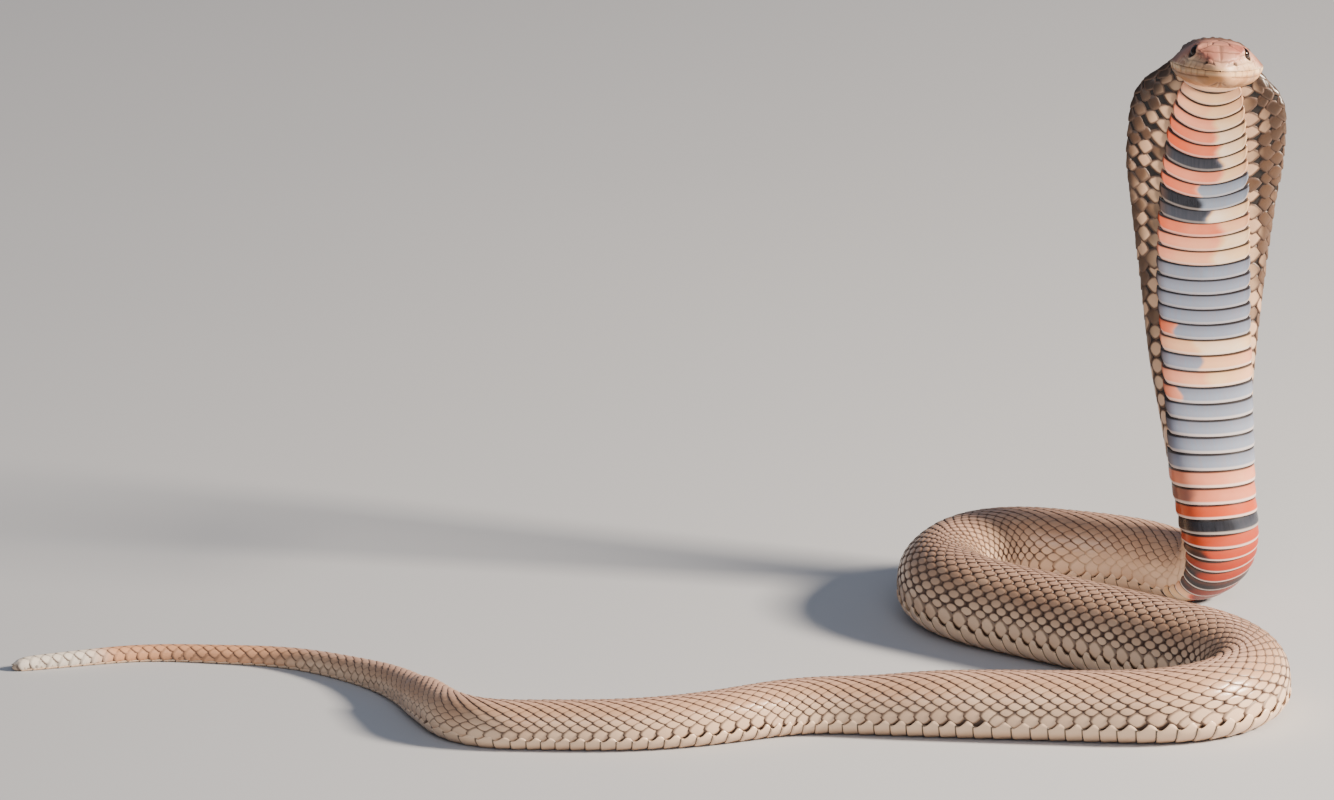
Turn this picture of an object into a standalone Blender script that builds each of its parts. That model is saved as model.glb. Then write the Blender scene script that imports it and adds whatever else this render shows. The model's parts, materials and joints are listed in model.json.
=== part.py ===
"""A life-size Mozambique spitting cobra, reared up with its hood spread and the rest of its body lying in
an S on the ground. Lengths in the tables are millimetres along the spine or across the body. The meshes are
made in metres, +Z up, with the origin on the ground under the middle of the whole animal's box.

The body is a spine with an outline swept along it. The spine starts at the tail tip and is steered by a few
bends. Each body length is one closed loft between two cuts, and the cuts leave a small gap.
"""

import math

import bmesh
import bpy
import numpy as np

MM = 0.001
GAP = 0.3
SPINE_STEP = 0.5
SPINE_LENGTH = 1134.0

# Where the tail tip lies on the ground, and which way the spine sets off from it, in degrees from +X.
TAIL_TIP = (4.3, 53.0)
TAIL_HEADING = 18.4

# Each bend: its middle along the spine, its span, then the degrees it turns sideways (to the left is
# positive), lifts towards the back, and twists about the spine.
BENDS = [
    (54.3, 46.0, -28.0, 0.0, 0.0),
    (109.9, 49.3, -31.6, 0.0, 0.0),
    (157.8, 65.7, -28.1, 0.0, 0.0),
    (235.4, 46.9, 66.7, 0.0, 0.0),
    (307.8, 81.5, 29.8, 0.0, 0.0),
    (364.1, 46.0, -33.0, 0.0, 0.0),
    (539.6, 117.9, 146.7, 0.0, 0.0),
    (724.2, 87.9, -72.7, 0.0, 0.0),
    (784.5, 54.6, -76.0, 0.0, 0.0),
    (839.8, 45.7, -31.9, 0.0, 0.0),
    (879.7, 40.0, -21.6, 96.4, -15.3),
    (909.0, 50.0, 2.4, 0.0, -8.0),
    (956.0, 60.0, 4.7, -5.0, -14.5),
    (1039.0, 70.0, 5.6, -0.7, -4.0),
    (1080.2, 34.0, -0.7, -83.2, 2.4),
]

# The outline across the body, as (place along the spine, value). Between places it eases smoothly.
HALF_WIDTH = [
    (0, 1.5), (3, 2.5), (8, 2.95), (33, 3.3), (60, 3.5), (98, 4.1), (133, 5.0), (167, 6.5), (187, 7.5),
    (193, 8.3), (210, 8.9), (230, 9.5), (262, 9.85), (291, 10.1), (383, 11.5), (421, 13.3), (478, 14.2),
    (536, 16.1), (597, 17.9), (700, 17.8), (752, 17.0), (797, 16.2), (845, 14.8), (868, 14.4),
    (887, 14.9), (903, 15.3), (923, 17.0), (943, 18.8), (961, 20.9), (982, 23.0), (1002, 25.4),
    (1022, 28.0), (1042, 30.5), (1054, 30.4), (1061, 29.6), (1068, 26.6), (1073.5, 21.2), (1079, 16.2),
    (1086, 13.4), (1096, 13.0),
]
BACK_SHARE = [
    (0, 0.965), (841, 0.95), (868, 0.87), (882, 0.73), (905, 0.73), (925, 0.66), (950, 0.54),
    (980, 0.42), (1010, 0.335), (1042, 0.266), (1064, 0.27), (1074, 0.29), (1082, 0.34), (1090, 0.42),
]
BELLY_SHARE = [
    (0, 0.91), (841, 0.90), (868, 0.86), (882, 0.80), (905, 0.72), (925, 0.60), (950, 0.46),
    (980, 0.33), (1010, 0.235), (1042, 0.165), (1062, 0.175), (1074, 0.27), (1088, 0.52),
]
BACK_POWER = [(0, 0.95), (905, 0.95), (950, 1.15), (1000, 1.9), (1042, 2.3), (1062, 2.2), (1084, 1.1)]
BELLY_POWER = [(0, 0.7), (925, 0.7), (960, 0.9), (1000, 1.2), (1042, 1.6), (1062, 1.5), (1084, 0.9)]
HOOD_EDGE = [(0, 0.0), (925, 0.0), (980, 1.2), (1042, 1.6), (1062, 1.6), (1084, 0.0)]
HOOD_CUP = [(0, 0.0), (940, 0.0), (1000, 1.2), (1042, 2.2), (1064, 2.0), (1084, 0.0)]

# The belly is pressed flat where the snake lies, by this much and by no more than this share of its depth.
PRESS = 0.6
PRESS_SHARE = 0.12
LIFT_OFF = 859.0

# Belly scutes of the raised part: half their width, how far the free edge sags, and how far it stands out.
SCUTE_HALF_WIDTH = [
    (858, 14.0), (903, 15.0), (923, 16.4), (943, 17.6), (961, 18.3), (1002, 18.0), (1042, 16.2),
    (1062, 13.5), (1078, 10.5), (1090, 9.0),
]
SCUTE_SAG = [(858, 0.8), (905, 1.6), (982, 2.8), (1042, 3.7), (1064, 3.2), (1090, 1.5)]
SCUTE_PITCH = [
    (858, 3.1), (888, 3.1), (894, 5.0), (900, 5.6), (905, 6.7), (945, 6.6), (985, 5.9), (1010, 5.8),
    (1030, 5.4), (1064, 5.3), (1090, 5.3),
]
# The rows of scutes lean a little across the lower neck, so that they lie level while the neck leans.
SCUTE_TILT = [(858, 0.04), (890, 0.10), (904, 0.12), (930, 0.10), (954, 0.06), (1004, 0.0), (1090, 0.0)]
SCUTE_LIFT = 0.75
SCUTE_STEP = 0.3
SCUTE_WIDEST_SHARE = 0.985
SCUTE_END = 0.99
CUT_MARGIN = 0.7
FIRST_SCUTE = 866.7
LAST_SCUTE = 1080.0

# Cuts between the nodes, along the spine.
BODY_NODES = [
    ("tail", 0.0, 191.0),
    ("body_rear_run", 191.0, 349.0),
    ("body_front_run", 349.0, 484.0),
    ("body_right_bend_front", 484.0, 537.0),
    ("body_right_bend_back", 537.0, 594.0),
    ("body_second_run", 594.0, 696.0),
    ("body_left_bend_front", 696.0, 752.0),
    ("body_left_bend_back", 752.0, 804.0),
    ("body_third_run", 804.0, 858.0),
]
RAISED_NODES = [
    ("neck_base", 858.0, 905.0),
    ("neck_column", 905.0, 985.0),
    ("hood", 985.0, 1091.0),
]
HEAD_START, HEAD_END = 1091.0, 1133.5
LYING_SECTORS = 22
LYING_RING = 7.0
BEND_RING = 5.2
BELLY_SECTORS = 10
BACK_SECTORS = 20

# Head, as (share of its length from the nape to the snout, value).
LIP_HALF_WIDTH = [
    (0, 13.0), (0.12, 15.0), (0.27, 17.5), (0.42, 16.7), (0.58, 14.2), (0.7, 12.3), (0.82, 9.9), (0.91, 8.1),
    (1, 7.2),
]
CROWN_HALF_WIDTH = [
    (0, 8.2), (0.28, 9.8), (0.5, 10.8), (0.68, 10.3), (0.78, 8.3), (0.88, 6.1), (1, 5.0),
]
CROWN_HEIGHT = [
    (0, 6.0), (0.12, 7.2), (0.3, 9.0), (0.55, 9.8), (0.7, 9.3), (0.8, 7.8), (0.9, 5.9), (1, 4.4),
]
JAW_DEPTH = [(0, 7.4), (0.2, 8.0), (0.4, 8.0), (0.6, 7.4), (0.8, 6.6), (1, 6.0)]
LIP_HEIGHT = [(0, -0.4), (0.28, -2.6), (0.6, -2.2), (0.8, -1.6), (1, -1.2)]
SNOUT_ROUND = 0.18
CROWN_POWER = 0.62
JAW_POWER = 0.8
SNOUT_RING_SHARES = [0.975, 0.99]
MOUTH_CORNER = 0.27
MOUTH_EASE = 0.06
LIP_OVERHANG = 0.5
MOUTH_GROOVE = 0.9
JAW_DROP = 0.35
GROOVE_DROP = 0.12
HEAD_RINGS = 26
CROWN_SECTORS = 22
JAW_SECTORS = 14
NECK_BLEND = 0.22

EYE_RADIUS = 2.35
EYE_PLACE = (1120.4, 8.5, 3.9)
EYE_FACETS = (18, 12)
SOCKET_FACETS = (16, 10)
BROW_SHARE = (0.69, 0.11)
BROW_SWELL = 0.7
BROW_RISE = (0.86, 0.12)
BROW_FROM = 0.2
NOSTRIL_RADIUS = 0.55
NOSTRIL_PLACE = (1129.6, 5.9, 1.2)
NOSTRIL_FACETS = (8, 6)

# Colours of the nodes, linear RGB, with a roughness.
TAN = (0.42, 0.30, 0.22)
PALE_TAN = (0.50, 0.36, 0.27)
SLATE_TAN = (0.25, 0.19, 0.16)
SALMON = (0.62, 0.26, 0.15)
DEEP_ORANGE = (0.45, 0.10, 0.04)
CREAM = (0.62, 0.44, 0.31)
EYE_BLACK = (0.01, 0.008, 0.006)
NODE_COLOURS = {
    "tail": PALE_TAN,
    "body_rear_run": PALE_TAN,
    "body_front_run": TAN,
    "body_right_bend_front": TAN,
    "body_right_bend_back": TAN,
    "body_second_run": SLATE_TAN,
    "body_left_bend_front": SLATE_TAN,
    "body_left_bend_back": TAN,
    "body_third_run": TAN,
    "neck_base": DEEP_ORANGE,
    "neck_column": SALMON,
    "hood": SALMON,
    "head": CREAM,
}


def clear_scene():
    for thing in list(bpy.data.objects):
        bpy.data.objects.remove(thing)


def ease(t):
    t = np.clip(t, 0.0, 1.0)
    return t * t * (3.0 - 2.0 * t)


def smooth(table, x):
    """The table's value at x: a cubic through its places that never overshoots them."""
    places = np.array([row[0] for row in table], float)
    values = np.array([row[1] for row in table], float)
    spans = np.diff(places)
    slopes = np.diff(values) / spans
    tangents = np.zeros(len(places))
    for i in range(1, len(places) - 1):
        before, after = slopes[i - 1], slopes[i]
        if before * after > 0:
            tangents[i] = 2.0 * before * after / (before + after)
    x = np.clip(x, places[0], places[-1])
    i = np.clip(np.searchsorted(places, x) - 1, 0, len(spans) - 1)
    t = (x - places[i]) / spans[i]
    start = (1 + 2 * t) * (1 - t) ** 2 * values[i] + t * (1 - t) ** 2 * spans[i] * tangents[i]
    end = t * t * (3 - 2 * t) * values[i + 1] + t * t * (t - 1) * spans[i] * tangents[i + 1]
    return start + end


def turned(vector, axis, angle):
    """The vector turned about a unit axis."""
    along = axis * np.dot(axis, vector) * (1 - math.cos(angle))
    return vector * math.cos(angle) + np.cross(axis, vector) * math.sin(angle) + along


def press_at(s):
    depth = smooth(HALF_WIDTH, s) * smooth(BELLY_SHARE, s)
    return depth - np.minimum(PRESS, PRESS_SHARE * depth)


def lay_spine():
    """Points, headings and back directions every SPINE_STEP along the spine."""
    places = np.arange(0.0, SPINE_LENGTH + SPINE_STEP, SPINE_STEP)
    turns = np.zeros((len(places), 3))
    for middle, span, side, lift, twist in BENDS:
        share = ease((places - middle) / span + 0.5)[:, None]
        turns += share * np.radians([side, lift, twist])
    heading = math.radians(TAIL_HEADING)
    ahead = np.array([math.cos(heading), math.sin(heading), 0.0])
    back = np.array([0.0, 0.0, 1.0])
    point = np.array([TAIL_TIP[0], TAIL_TIP[1], 0.0])
    points, aheads, backs = [point], [ahead], [back]
    for side, lift, twist in np.diff(turns, axis=0):
        last = ahead
        ahead = turned(ahead, back, side)
        right = np.cross(ahead, back)
        ahead = turned(ahead, right, lift)
        back = turned(turned(back, right, lift), ahead, twist)
        back = back - ahead * np.dot(back, ahead)
        back = back / np.linalg.norm(back)
        ahead = ahead / np.linalg.norm(ahead)
        step = ahead + last
        point = point + SPINE_STEP * step / np.linalg.norm(step)
        points.append(point)
        aheads.append(ahead)
        backs.append(back)
    points = np.array(points)
    points[:, 2] += press_at(np.minimum(places, LIFT_OFF))
    return places, points, np.array(aheads), np.array(backs)


PLACES, POINTS, AHEADS, BACKS = lay_spine()
RIGHTS = np.cross(AHEADS, BACKS)


def read_spine(rows, s):
    """Rows of the spine read at the places s, which can be an array of any shape."""
    return np.stack([np.interp(s, PLACES, rows[:, k]) for k in range(3)], axis=-1)


def place(s, right, up):
    """World points at place s along the spine, moved to the right and towards the back."""
    offset = np.asarray(right)[..., None] * read_spine(RIGHTS, s)
    rise = np.asarray(up)[..., None] * read_spine(BACKS, s)
    return read_spine(POINTS, s) + offset + rise


def outline(s, angle):
    """The body's outline: right and up for an angle from the middle of the back, clockwise from behind."""
    half = smooth(HALF_WIDTH, s)
    edge = smooth(HOOD_EDGE, s)
    sine, cosine = np.sin(angle), np.cos(angle)
    reach = np.abs(cosine)
    back = (half * smooth(BACK_SHARE, s) - edge) * reach ** smooth(BACK_POWER, s)
    belly = (half * smooth(BELLY_SHARE, s) - edge) * reach ** smooth(BELLY_POWER, s)
    rim = edge * np.sqrt(reach)
    up = np.where(cosine > 0, back + rim, -belly - rim) - smooth(HOOD_CUP, s) * sine**2
    return half * sine, up


def skin(s, angle, lift=0.0):
    """World points on the body at place s and angle, lifted off the skin across the spine."""
    small = 0.02
    right, up = outline(s, angle)
    right_before, up_before = outline(s, angle - small)
    right_after, up_after = outline(s, angle + small)
    across = np.stack([right_after - right_before, up_after - up_before], axis=-1)
    length = np.maximum(np.linalg.norm(across, axis=-1), 1e-9)
    points = place(s, right - lift * across[..., 1] / length, up + lift * across[..., 0] / length)
    points[..., 2] = np.maximum(points[..., 2], 0.0)
    return points


def material(name, colour, roughness):
    made = bpy.data.materials.new(name)
    made.use_nodes = True
    shader = made.node_tree.nodes["Principled BSDF"]
    shader.inputs["Base Color"].default_value = (*colour, 1.0)
    shader.inputs["Roughness"].default_value = roughness
    shader.inputs["Metallic"].default_value = 0.0
    return made


def add_object(name, mesh, middle, parent, colour, roughness):
    made = bpy.data.objects.new(name, mesh)
    bpy.context.collection.objects.link(made)
    made.location = middle * MM
    made.parent = parent
    mesh.materials.append(material(name, colour, roughness))
    mesh.shade_smooth()
    mesh.set_sharp_from_angle(angle=math.radians(32))
    return made


def close_loft(rings, pole=None):
    """A closed mesh from rings of points, all wound alike, with a fan over each end. A pole is the last
    point that the end of the rings runs into."""
    sectors = rings.shape[1]
    work = bmesh.new()
    rows = [[work.verts.new(point) for point in ring] for ring in rings]
    for lower, upper in zip(rows, rows[1:]):
        for j in range(sectors):
            k = (j + 1) % sectors
            work.faces.new((lower[j], lower[k], upper[k], upper[j]))
    start = work.verts.new(rings[0].mean(axis=0))
    end = work.verts.new(rings[-1].mean(axis=0) if pole is None else pole)
    for j in range(sectors):
        k = (j + 1) % sectors
        work.faces.new((rows[0][k], rows[0][j], start))
        work.faces.new((rows[-1][j], rows[-1][k], end))
    bmesh.ops.recalc_face_normals(work, faces=work.faces)
    return work


def finish_mesh(name, work):
    mesh = bpy.data.meshes.new(name)
    work.to_mesh(mesh)
    work.free()
    return mesh


def loft_object(name, rings, parent, pole=None):
    """One node: its loft, placed by the middle of its own points."""
    middle = rings.reshape(-1, 3).mean(axis=0)
    middle[2] = 0.0
    end = None if pole is None else (pole - middle) * MM
    work = close_loft((rings - middle) * MM, end)
    return add_object(name, finish_mesh(name, work), middle, parent, NODE_COLOURS[name], 0.5)


def lying_length(name, start, end, parent):
    """A length of the body that lies on the ground, with evenly spaced rings."""
    first = start if start == 0.0 else start + GAP / 2
    last = end - GAP / 2
    ring = BEND_RING if "bend" in name else LYING_RING
    count = int(round((last - first) / ring)) + 1
    places = np.linspace(first, last, count)
    if start == 0.0:
        places = np.concatenate([[0.0, 0.6, 2.0], places[1:]])
    angles = np.arange(LYING_SECTORS) * 2 * math.pi / LYING_SECTORS
    rings = skin(places[:, None], np.broadcast_to(angles, (len(places), LYING_SECTORS)))
    return loft_object(name, rings, parent)


def scute_edges():
    """Places of the free edges of the belly scutes, from the neck's base up to the throat."""
    edges = [FIRST_SCUTE]
    while edges[-1] < LAST_SCUTE:
        edges.append(edges[-1] + float(smooth(SCUTE_PITCH, edges[-1])))
    return edges


def scute_ring(s, lift, sag, tilt):
    """One ring of the raised body. Its belly stretch follows a scute's sagging edge, lifted off the skin."""
    half_width = float(smooth(HALF_WIDTH, s))
    reach = math.asin(min(float(smooth(SCUTE_HALF_WIDTH, s)) / half_width, SCUTE_WIDEST_SHARE))
    across = np.linspace(-1.0, 1.0, BELLY_SECTORS + 1)
    belly = math.pi + across * reach
    back = np.linspace(math.pi + reach, 3 * math.pi - reach, BACK_SECTORS + 1)[1:-1]
    angles = np.concatenate([belly, back])
    sags = np.concatenate([sag * (1 - across**2), np.zeros(len(back))])
    lifts = np.concatenate([lift * (np.abs(across) < SCUTE_END), np.zeros(len(back))])
    return skin(s - sags + tilt * half_width * np.sin(angles), angles, lifts)


def raised_length(name, start, end, parent):
    """A length of the raised body, stepped down the belly by its scutes."""
    first, last = start + GAP / 2, end - GAP / 2
    rings = [scute_ring(first, 0.0, 0.0, 0.0)]
    for edge in scute_edges():
        sag = float(smooth(SCUTE_SAG, edge))
        tilt = float(smooth(SCUTE_TILT, edge))
        swing = tilt * float(smooth(HALF_WIDTH, edge))
        if edge - sag - swing < first + CUT_MARGIN or edge + swing + SCUTE_STEP > last - CUT_MARGIN:
            continue
        rings.append(scute_ring(edge, 0.0, sag, tilt))
        rings.append(scute_ring(edge + SCUTE_STEP, SCUTE_LIFT, sag, tilt))
    rings.append(scute_ring(last, 0.0, 0.0, 0.0))
    return loft_object(name, np.array(rings), parent)


def head_ring(share):
    """One ring of the head: the crown from lip to lip, and the jaw under it, set back behind the lip."""
    s = HEAD_START + share * (HEAD_END - HEAD_START)
    into_snout = max(0.0, (share - 1 + SNOUT_ROUND) / SNOUT_ROUND)
    shrink = math.sqrt(max(0.0, 1 - into_snout**2))
    lip = float(smooth(LIP_HALF_WIDTH, share)) * shrink
    crown = float(smooth(CROWN_HALF_WIDTH, share)) * shrink
    height = float(smooth(CROWN_HEIGHT, share)) * shrink
    depth = float(smooth(JAW_DEPTH, share)) * shrink
    lip_up = float(smooth(LIP_HEIGHT, share))
    opening = float(ease((share - MOUTH_CORNER) / MOUTH_EASE)) * shrink
    crown_angles = np.linspace(0, math.pi, CROWN_SECTORS + 1)
    rise = np.sin(crown_angles) ** CROWN_POWER
    reach = np.abs(np.cos(crown_angles)) ** CROWN_POWER * np.sign(np.cos(crown_angles))
    right = (lip * (1 - rise) + crown * rise) * reach
    up = height * rise
    brow_middle, brow_span = BROW_SHARE
    brow = BROW_SWELL * math.exp(-(((share - brow_middle) / brow_span) ** 2))
    rise_middle, rise_span = BROW_RISE
    brow = brow * np.exp(-(((rise - rise_middle) / rise_span) ** 2))
    right = right + brow * np.sign(reach) * (np.abs(reach) > BROW_FROM)
    jaw_angles = np.linspace(0, math.pi, JAW_SECTORS + 1)
    jaw_lip = lip - LIP_OVERHANG * opening
    jaw_reach = np.abs(np.cos(jaw_angles)) ** JAW_POWER * np.sign(np.cos(jaw_angles))
    jaw_right = -jaw_lip * jaw_reach
    jaw_up = -depth * np.sin(jaw_angles) ** JAW_POWER - JAW_DROP * opening
    groove = lip - MOUTH_GROOVE * opening
    rights = np.concatenate([right, [-groove], jaw_right, [groove]])
    ups = np.concatenate([up, [-GROOVE_DROP * opening], jaw_up, [-GROOVE_DROP * opening]]) + lip_up
    if share < NECK_BLEND:
        angles = np.arctan2(rights, ups - lip_up)
        neck_right, neck_up = outline(np.full(len(angles), s), angles)
        own = float(ease(share / NECK_BLEND))
        rights = rights * own + neck_right * (1 - own)
        ups = ups * own + neck_up * (1 - own)
    return place(np.full(len(rights), s), rights, ups)


def cutter(name, radius, centre, facets):
    """A guide ball that a Boolean takes out of the head. It isn't part of the animal."""
    work = bmesh.new()
    bmesh.ops.create_uvsphere(work, u_segments=facets[0], v_segments=facets[1], radius=radius * MM)
    made = bpy.data.objects.new(name, finish_mesh(name, work))
    bpy.context.collection.objects.link(made)
    made.location = centre * MM
    made.hide_render = True
    made.display_type = "WIRE"
    return made


def side_name(side):
    return "left" if side < 0 else "right"


def build_head(parent):
    """The head with its eye sockets and nostrils, and the two eyes."""
    shares = np.linspace(0, 1, HEAD_RINGS + 1)[:-1]
    shares = np.sort(np.concatenate([shares + GAP / 2 / (HEAD_END - HEAD_START), SNOUT_RING_SHARES]))
    rings = np.array([head_ring(share) for share in shares])
    pole = place(np.array([HEAD_END]), np.array([0.0]), np.array([LIP_HEIGHT[-1][1]]))[0]
    head = loft_object("head", rings, parent, pole)
    for side in (-1, 1):
        s, right, up = EYE_PLACE
        centre = place(np.array([s]), np.array([side * right]), np.array([up]))[0]
        socket = cutter(f"socket_{side_name(side)}", EYE_RADIUS + GAP, centre, SOCKET_FACETS)
        s, right, up = NOSTRIL_PLACE
        pit_centre = place(np.array([s]), np.array([side * right]), np.array([up]))[0]
        pit = cutter(f"nostril_{side_name(side)}", NOSTRIL_RADIUS, pit_centre, NOSTRIL_FACETS)
        for guide in (socket, pit):
            guide.parent = parent
            cut = head.modifiers.new(guide.name, "BOOLEAN")
            cut.operation = "DIFFERENCE"
            cut.solver = "EXACT"
            cut.object = guide
        work = bmesh.new()
        around, down = EYE_FACETS
        bmesh.ops.create_uvsphere(work, u_segments=around, v_segments=down, radius=EYE_RADIUS * MM)
        name = f"eye_{side_name(side)}"
        add_object(name, finish_mesh(name, work), centre, parent, EYE_BLACK, 0.08)


def centre_on_ground(root):
    """Moves the whole animal so that the origin is on the ground under the middle of its box."""
    bpy.context.view_layer.update()
    corners = []
    for thing in root.children:
        if thing.type == "MESH" and not thing.hide_render:
            corners += [thing.matrix_world @ vertex.co for vertex in thing.data.vertices]
    corners = np.array(corners)
    middle = (corners.min(axis=0) + corners.max(axis=0)) / 2
    root.location = (-middle[0], -middle[1], 0.0)


def main():
    clear_scene()
    root = bpy.data.objects.new("cobra", None)
    bpy.context.collection.objects.link(root)
    for name, start, end in BODY_NODES:
        lying_length(name, start, end, root)
    for name, start, end in RAISED_NODES:
        raised_length(name, start, end, root)
    build_head(root)
    centre_on_ground(root)


main()
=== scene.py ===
# %% [markdown]
# # A Mozambique spitting cobra, reared up
# The real animal is about 1.1 m long. Its body lies in an S on the ground, its neck stands up with the hood
# spread, and it looks straight at whoever disturbed it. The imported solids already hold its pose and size.
# This lesson dresses them: one smooth skin, some thousands of small scales laid over it, broad belly plates
# in salmon and slate, a head with its shields, and two wet eyes.

# %% Load the frame
import json
import math

import bpy
import numpy as np
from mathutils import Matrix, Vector

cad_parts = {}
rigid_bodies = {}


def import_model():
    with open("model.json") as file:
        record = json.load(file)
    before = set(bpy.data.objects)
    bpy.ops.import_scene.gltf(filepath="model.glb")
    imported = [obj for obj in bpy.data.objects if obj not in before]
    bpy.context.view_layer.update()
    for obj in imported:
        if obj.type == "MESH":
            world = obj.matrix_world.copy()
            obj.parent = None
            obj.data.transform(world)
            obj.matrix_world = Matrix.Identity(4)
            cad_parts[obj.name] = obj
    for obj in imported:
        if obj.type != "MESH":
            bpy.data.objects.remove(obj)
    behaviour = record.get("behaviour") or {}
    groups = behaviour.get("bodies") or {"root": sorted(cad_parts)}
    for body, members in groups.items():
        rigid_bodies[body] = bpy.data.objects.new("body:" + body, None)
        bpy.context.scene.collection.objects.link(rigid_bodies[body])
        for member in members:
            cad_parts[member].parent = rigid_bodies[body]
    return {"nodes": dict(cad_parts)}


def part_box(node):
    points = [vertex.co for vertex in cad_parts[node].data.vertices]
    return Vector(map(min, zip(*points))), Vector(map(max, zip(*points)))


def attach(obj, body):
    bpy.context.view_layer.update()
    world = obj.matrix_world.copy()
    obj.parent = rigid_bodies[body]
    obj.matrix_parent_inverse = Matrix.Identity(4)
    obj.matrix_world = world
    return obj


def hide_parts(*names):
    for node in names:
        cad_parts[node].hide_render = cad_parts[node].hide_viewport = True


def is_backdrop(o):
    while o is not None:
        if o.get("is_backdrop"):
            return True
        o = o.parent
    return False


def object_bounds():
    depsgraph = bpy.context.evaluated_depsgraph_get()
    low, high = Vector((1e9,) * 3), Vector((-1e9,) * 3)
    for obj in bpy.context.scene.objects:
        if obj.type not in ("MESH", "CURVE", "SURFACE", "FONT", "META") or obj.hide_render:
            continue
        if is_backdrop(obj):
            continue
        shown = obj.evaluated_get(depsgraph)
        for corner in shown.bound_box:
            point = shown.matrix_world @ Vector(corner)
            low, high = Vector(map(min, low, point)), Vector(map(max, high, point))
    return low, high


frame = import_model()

cad_low, cad_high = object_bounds()
sides = [round((b - a) * 1000) for a, b in zip(cad_low, cad_high)]
print("nodes to dress:", len(frame["nodes"]), "box in mm:", sides)

# %% [markdown]
# ## The spine
# A snake is a long tube, so the whole animal can be steered from one line. The line starts at the tail tip
# and is turned by a few bends, as a hand would bend a wire. The table is the one that the solids were made
# from, in millimetres, so every piece below lands on them. A drawn curve would do too, but a table of bends
# is easier to read: each row says where, over what length, and how much it turns sideways, lifts and
# twists.

# %% Tables of the spine and the outline
MM = 0.001
SPINE_STEP = 0.5
SPINE_LENGTH = 1134.0
TAIL_TIP = (4.3, 53.0)
TAIL_HEADING = 18.4
BENDS = [
    (54.3, 46.0, -28.0, 0.0, 0.0),
    (109.9, 49.3, -31.6, 0.0, 0.0),
    (157.8, 65.7, -28.1, 0.0, 0.0),
    (235.4, 46.9, 66.7, 0.0, 0.0),
    (307.8, 81.5, 29.8, 0.0, 0.0),
    (364.1, 46.0, -33.0, 0.0, 0.0),
    (539.6, 117.9, 146.7, 0.0, 0.0),
    (724.2, 87.9, -72.7, 0.0, 0.0),
    (784.5, 54.6, -76.0, 0.0, 0.0),
    (839.8, 45.7, -31.9, 0.0, 0.0),
    (879.7, 40.0, -21.6, 96.4, -15.3),
    (909.0, 50.0, 2.4, 0.0, -8.0),
    (956.0, 60.0, 4.7, -5.0, -14.5),
    (1039.0, 70.0, 5.6, -0.7, -4.0),
    (1080.2, 34.0, -0.7, -83.2, 2.4),
]
HALF_WIDTH = [
    (0, 1.5), (3, 2.5), (8, 2.95), (33, 3.3), (60, 3.5), (98, 4.1), (133, 5.0), (167, 6.5), (187, 7.5),
    (193, 8.3), (210, 8.9), (230, 9.5), (262, 9.85), (291, 10.1), (383, 11.5), (421, 13.3), (478, 14.2),
    (536, 16.1), (597, 17.9), (700, 17.8), (752, 17.0), (797, 16.2), (845, 14.8), (868, 14.4),
    (887, 14.9), (903, 15.3), (923, 17.0), (943, 18.8), (961, 20.9), (982, 23.0), (1002, 25.4),
    (1022, 28.0), (1042, 30.5), (1054, 30.4), (1061, 29.6), (1068, 26.6), (1073.5, 21.2), (1079, 16.2),
    (1086, 13.4), (1096, 13.0),
]
BACK_SHARE = [
    (0, 0.965), (841, 0.95), (868, 0.87), (882, 0.73), (905, 0.73), (925, 0.66), (950, 0.54),
    (980, 0.42), (1010, 0.335), (1042, 0.266), (1064, 0.27), (1074, 0.29), (1082, 0.34), (1090, 0.42),
]
BELLY_SHARE = [
    (0, 0.91), (841, 0.90), (868, 0.86), (882, 0.80), (905, 0.72), (925, 0.60), (950, 0.46),
    (980, 0.33), (1010, 0.235), (1042, 0.165), (1062, 0.175), (1074, 0.27), (1088, 0.52),
]
BACK_POWER = [(0, 0.95), (905, 0.95), (950, 1.15), (1000, 1.9), (1042, 2.3), (1062, 2.2), (1084, 1.1)]
BELLY_POWER = [(0, 0.7), (925, 0.7), (960, 0.9), (1000, 1.2), (1042, 1.6), (1062, 1.5), (1084, 0.9)]
HOOD_EDGE = [(0, 0.0), (925, 0.0), (980, 1.2), (1042, 1.6), (1062, 1.6), (1084, 0.0)]
HOOD_CUP = [(0, 0.0), (940, 0.0), (1000, 1.2), (1042, 2.2), (1064, 2.0), (1084, 0.0)]
PRESS = 0.6
PRESS_SHARE = 0.12
LIFT_OFF = 859.0
print("spine of", SPINE_LENGTH, "mm with", len(BENDS), "bends")


# %% Lay the spine and sweep the outline along it
def ease(t):
    t = np.clip(t, 0.0, 1.0)
    return t * t * (3.0 - 2.0 * t)


def smooth(table, x):
    """The table's value at x: a cubic through its places that never overshoots them."""
    places = np.array([row[0] for row in table], float)
    values = np.array([row[1] for row in table], float)
    spans = np.diff(places)
    slopes = np.diff(values) / spans
    tangents = np.zeros(len(places))
    for i in range(1, len(places) - 1):
        before, after = slopes[i - 1], slopes[i]
        if before * after > 0:
            tangents[i] = 2.0 * before * after / (before + after)
    x = np.clip(x, places[0], places[-1])
    i = np.clip(np.searchsorted(places, x) - 1, 0, len(spans) - 1)
    t = (x - places[i]) / spans[i]
    start = (1 + 2 * t) * (1 - t) ** 2 * values[i] + t * (1 - t) ** 2 * spans[i] * tangents[i]
    end = t * t * (3 - 2 * t) * values[i + 1] + t * t * (t - 1) * spans[i] * tangents[i + 1]
    return start + end


def turned(vector, axis, angle):
    along = axis * np.dot(axis, vector) * (1 - math.cos(angle))
    return vector * math.cos(angle) + np.cross(axis, vector) * math.sin(angle) + along


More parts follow.
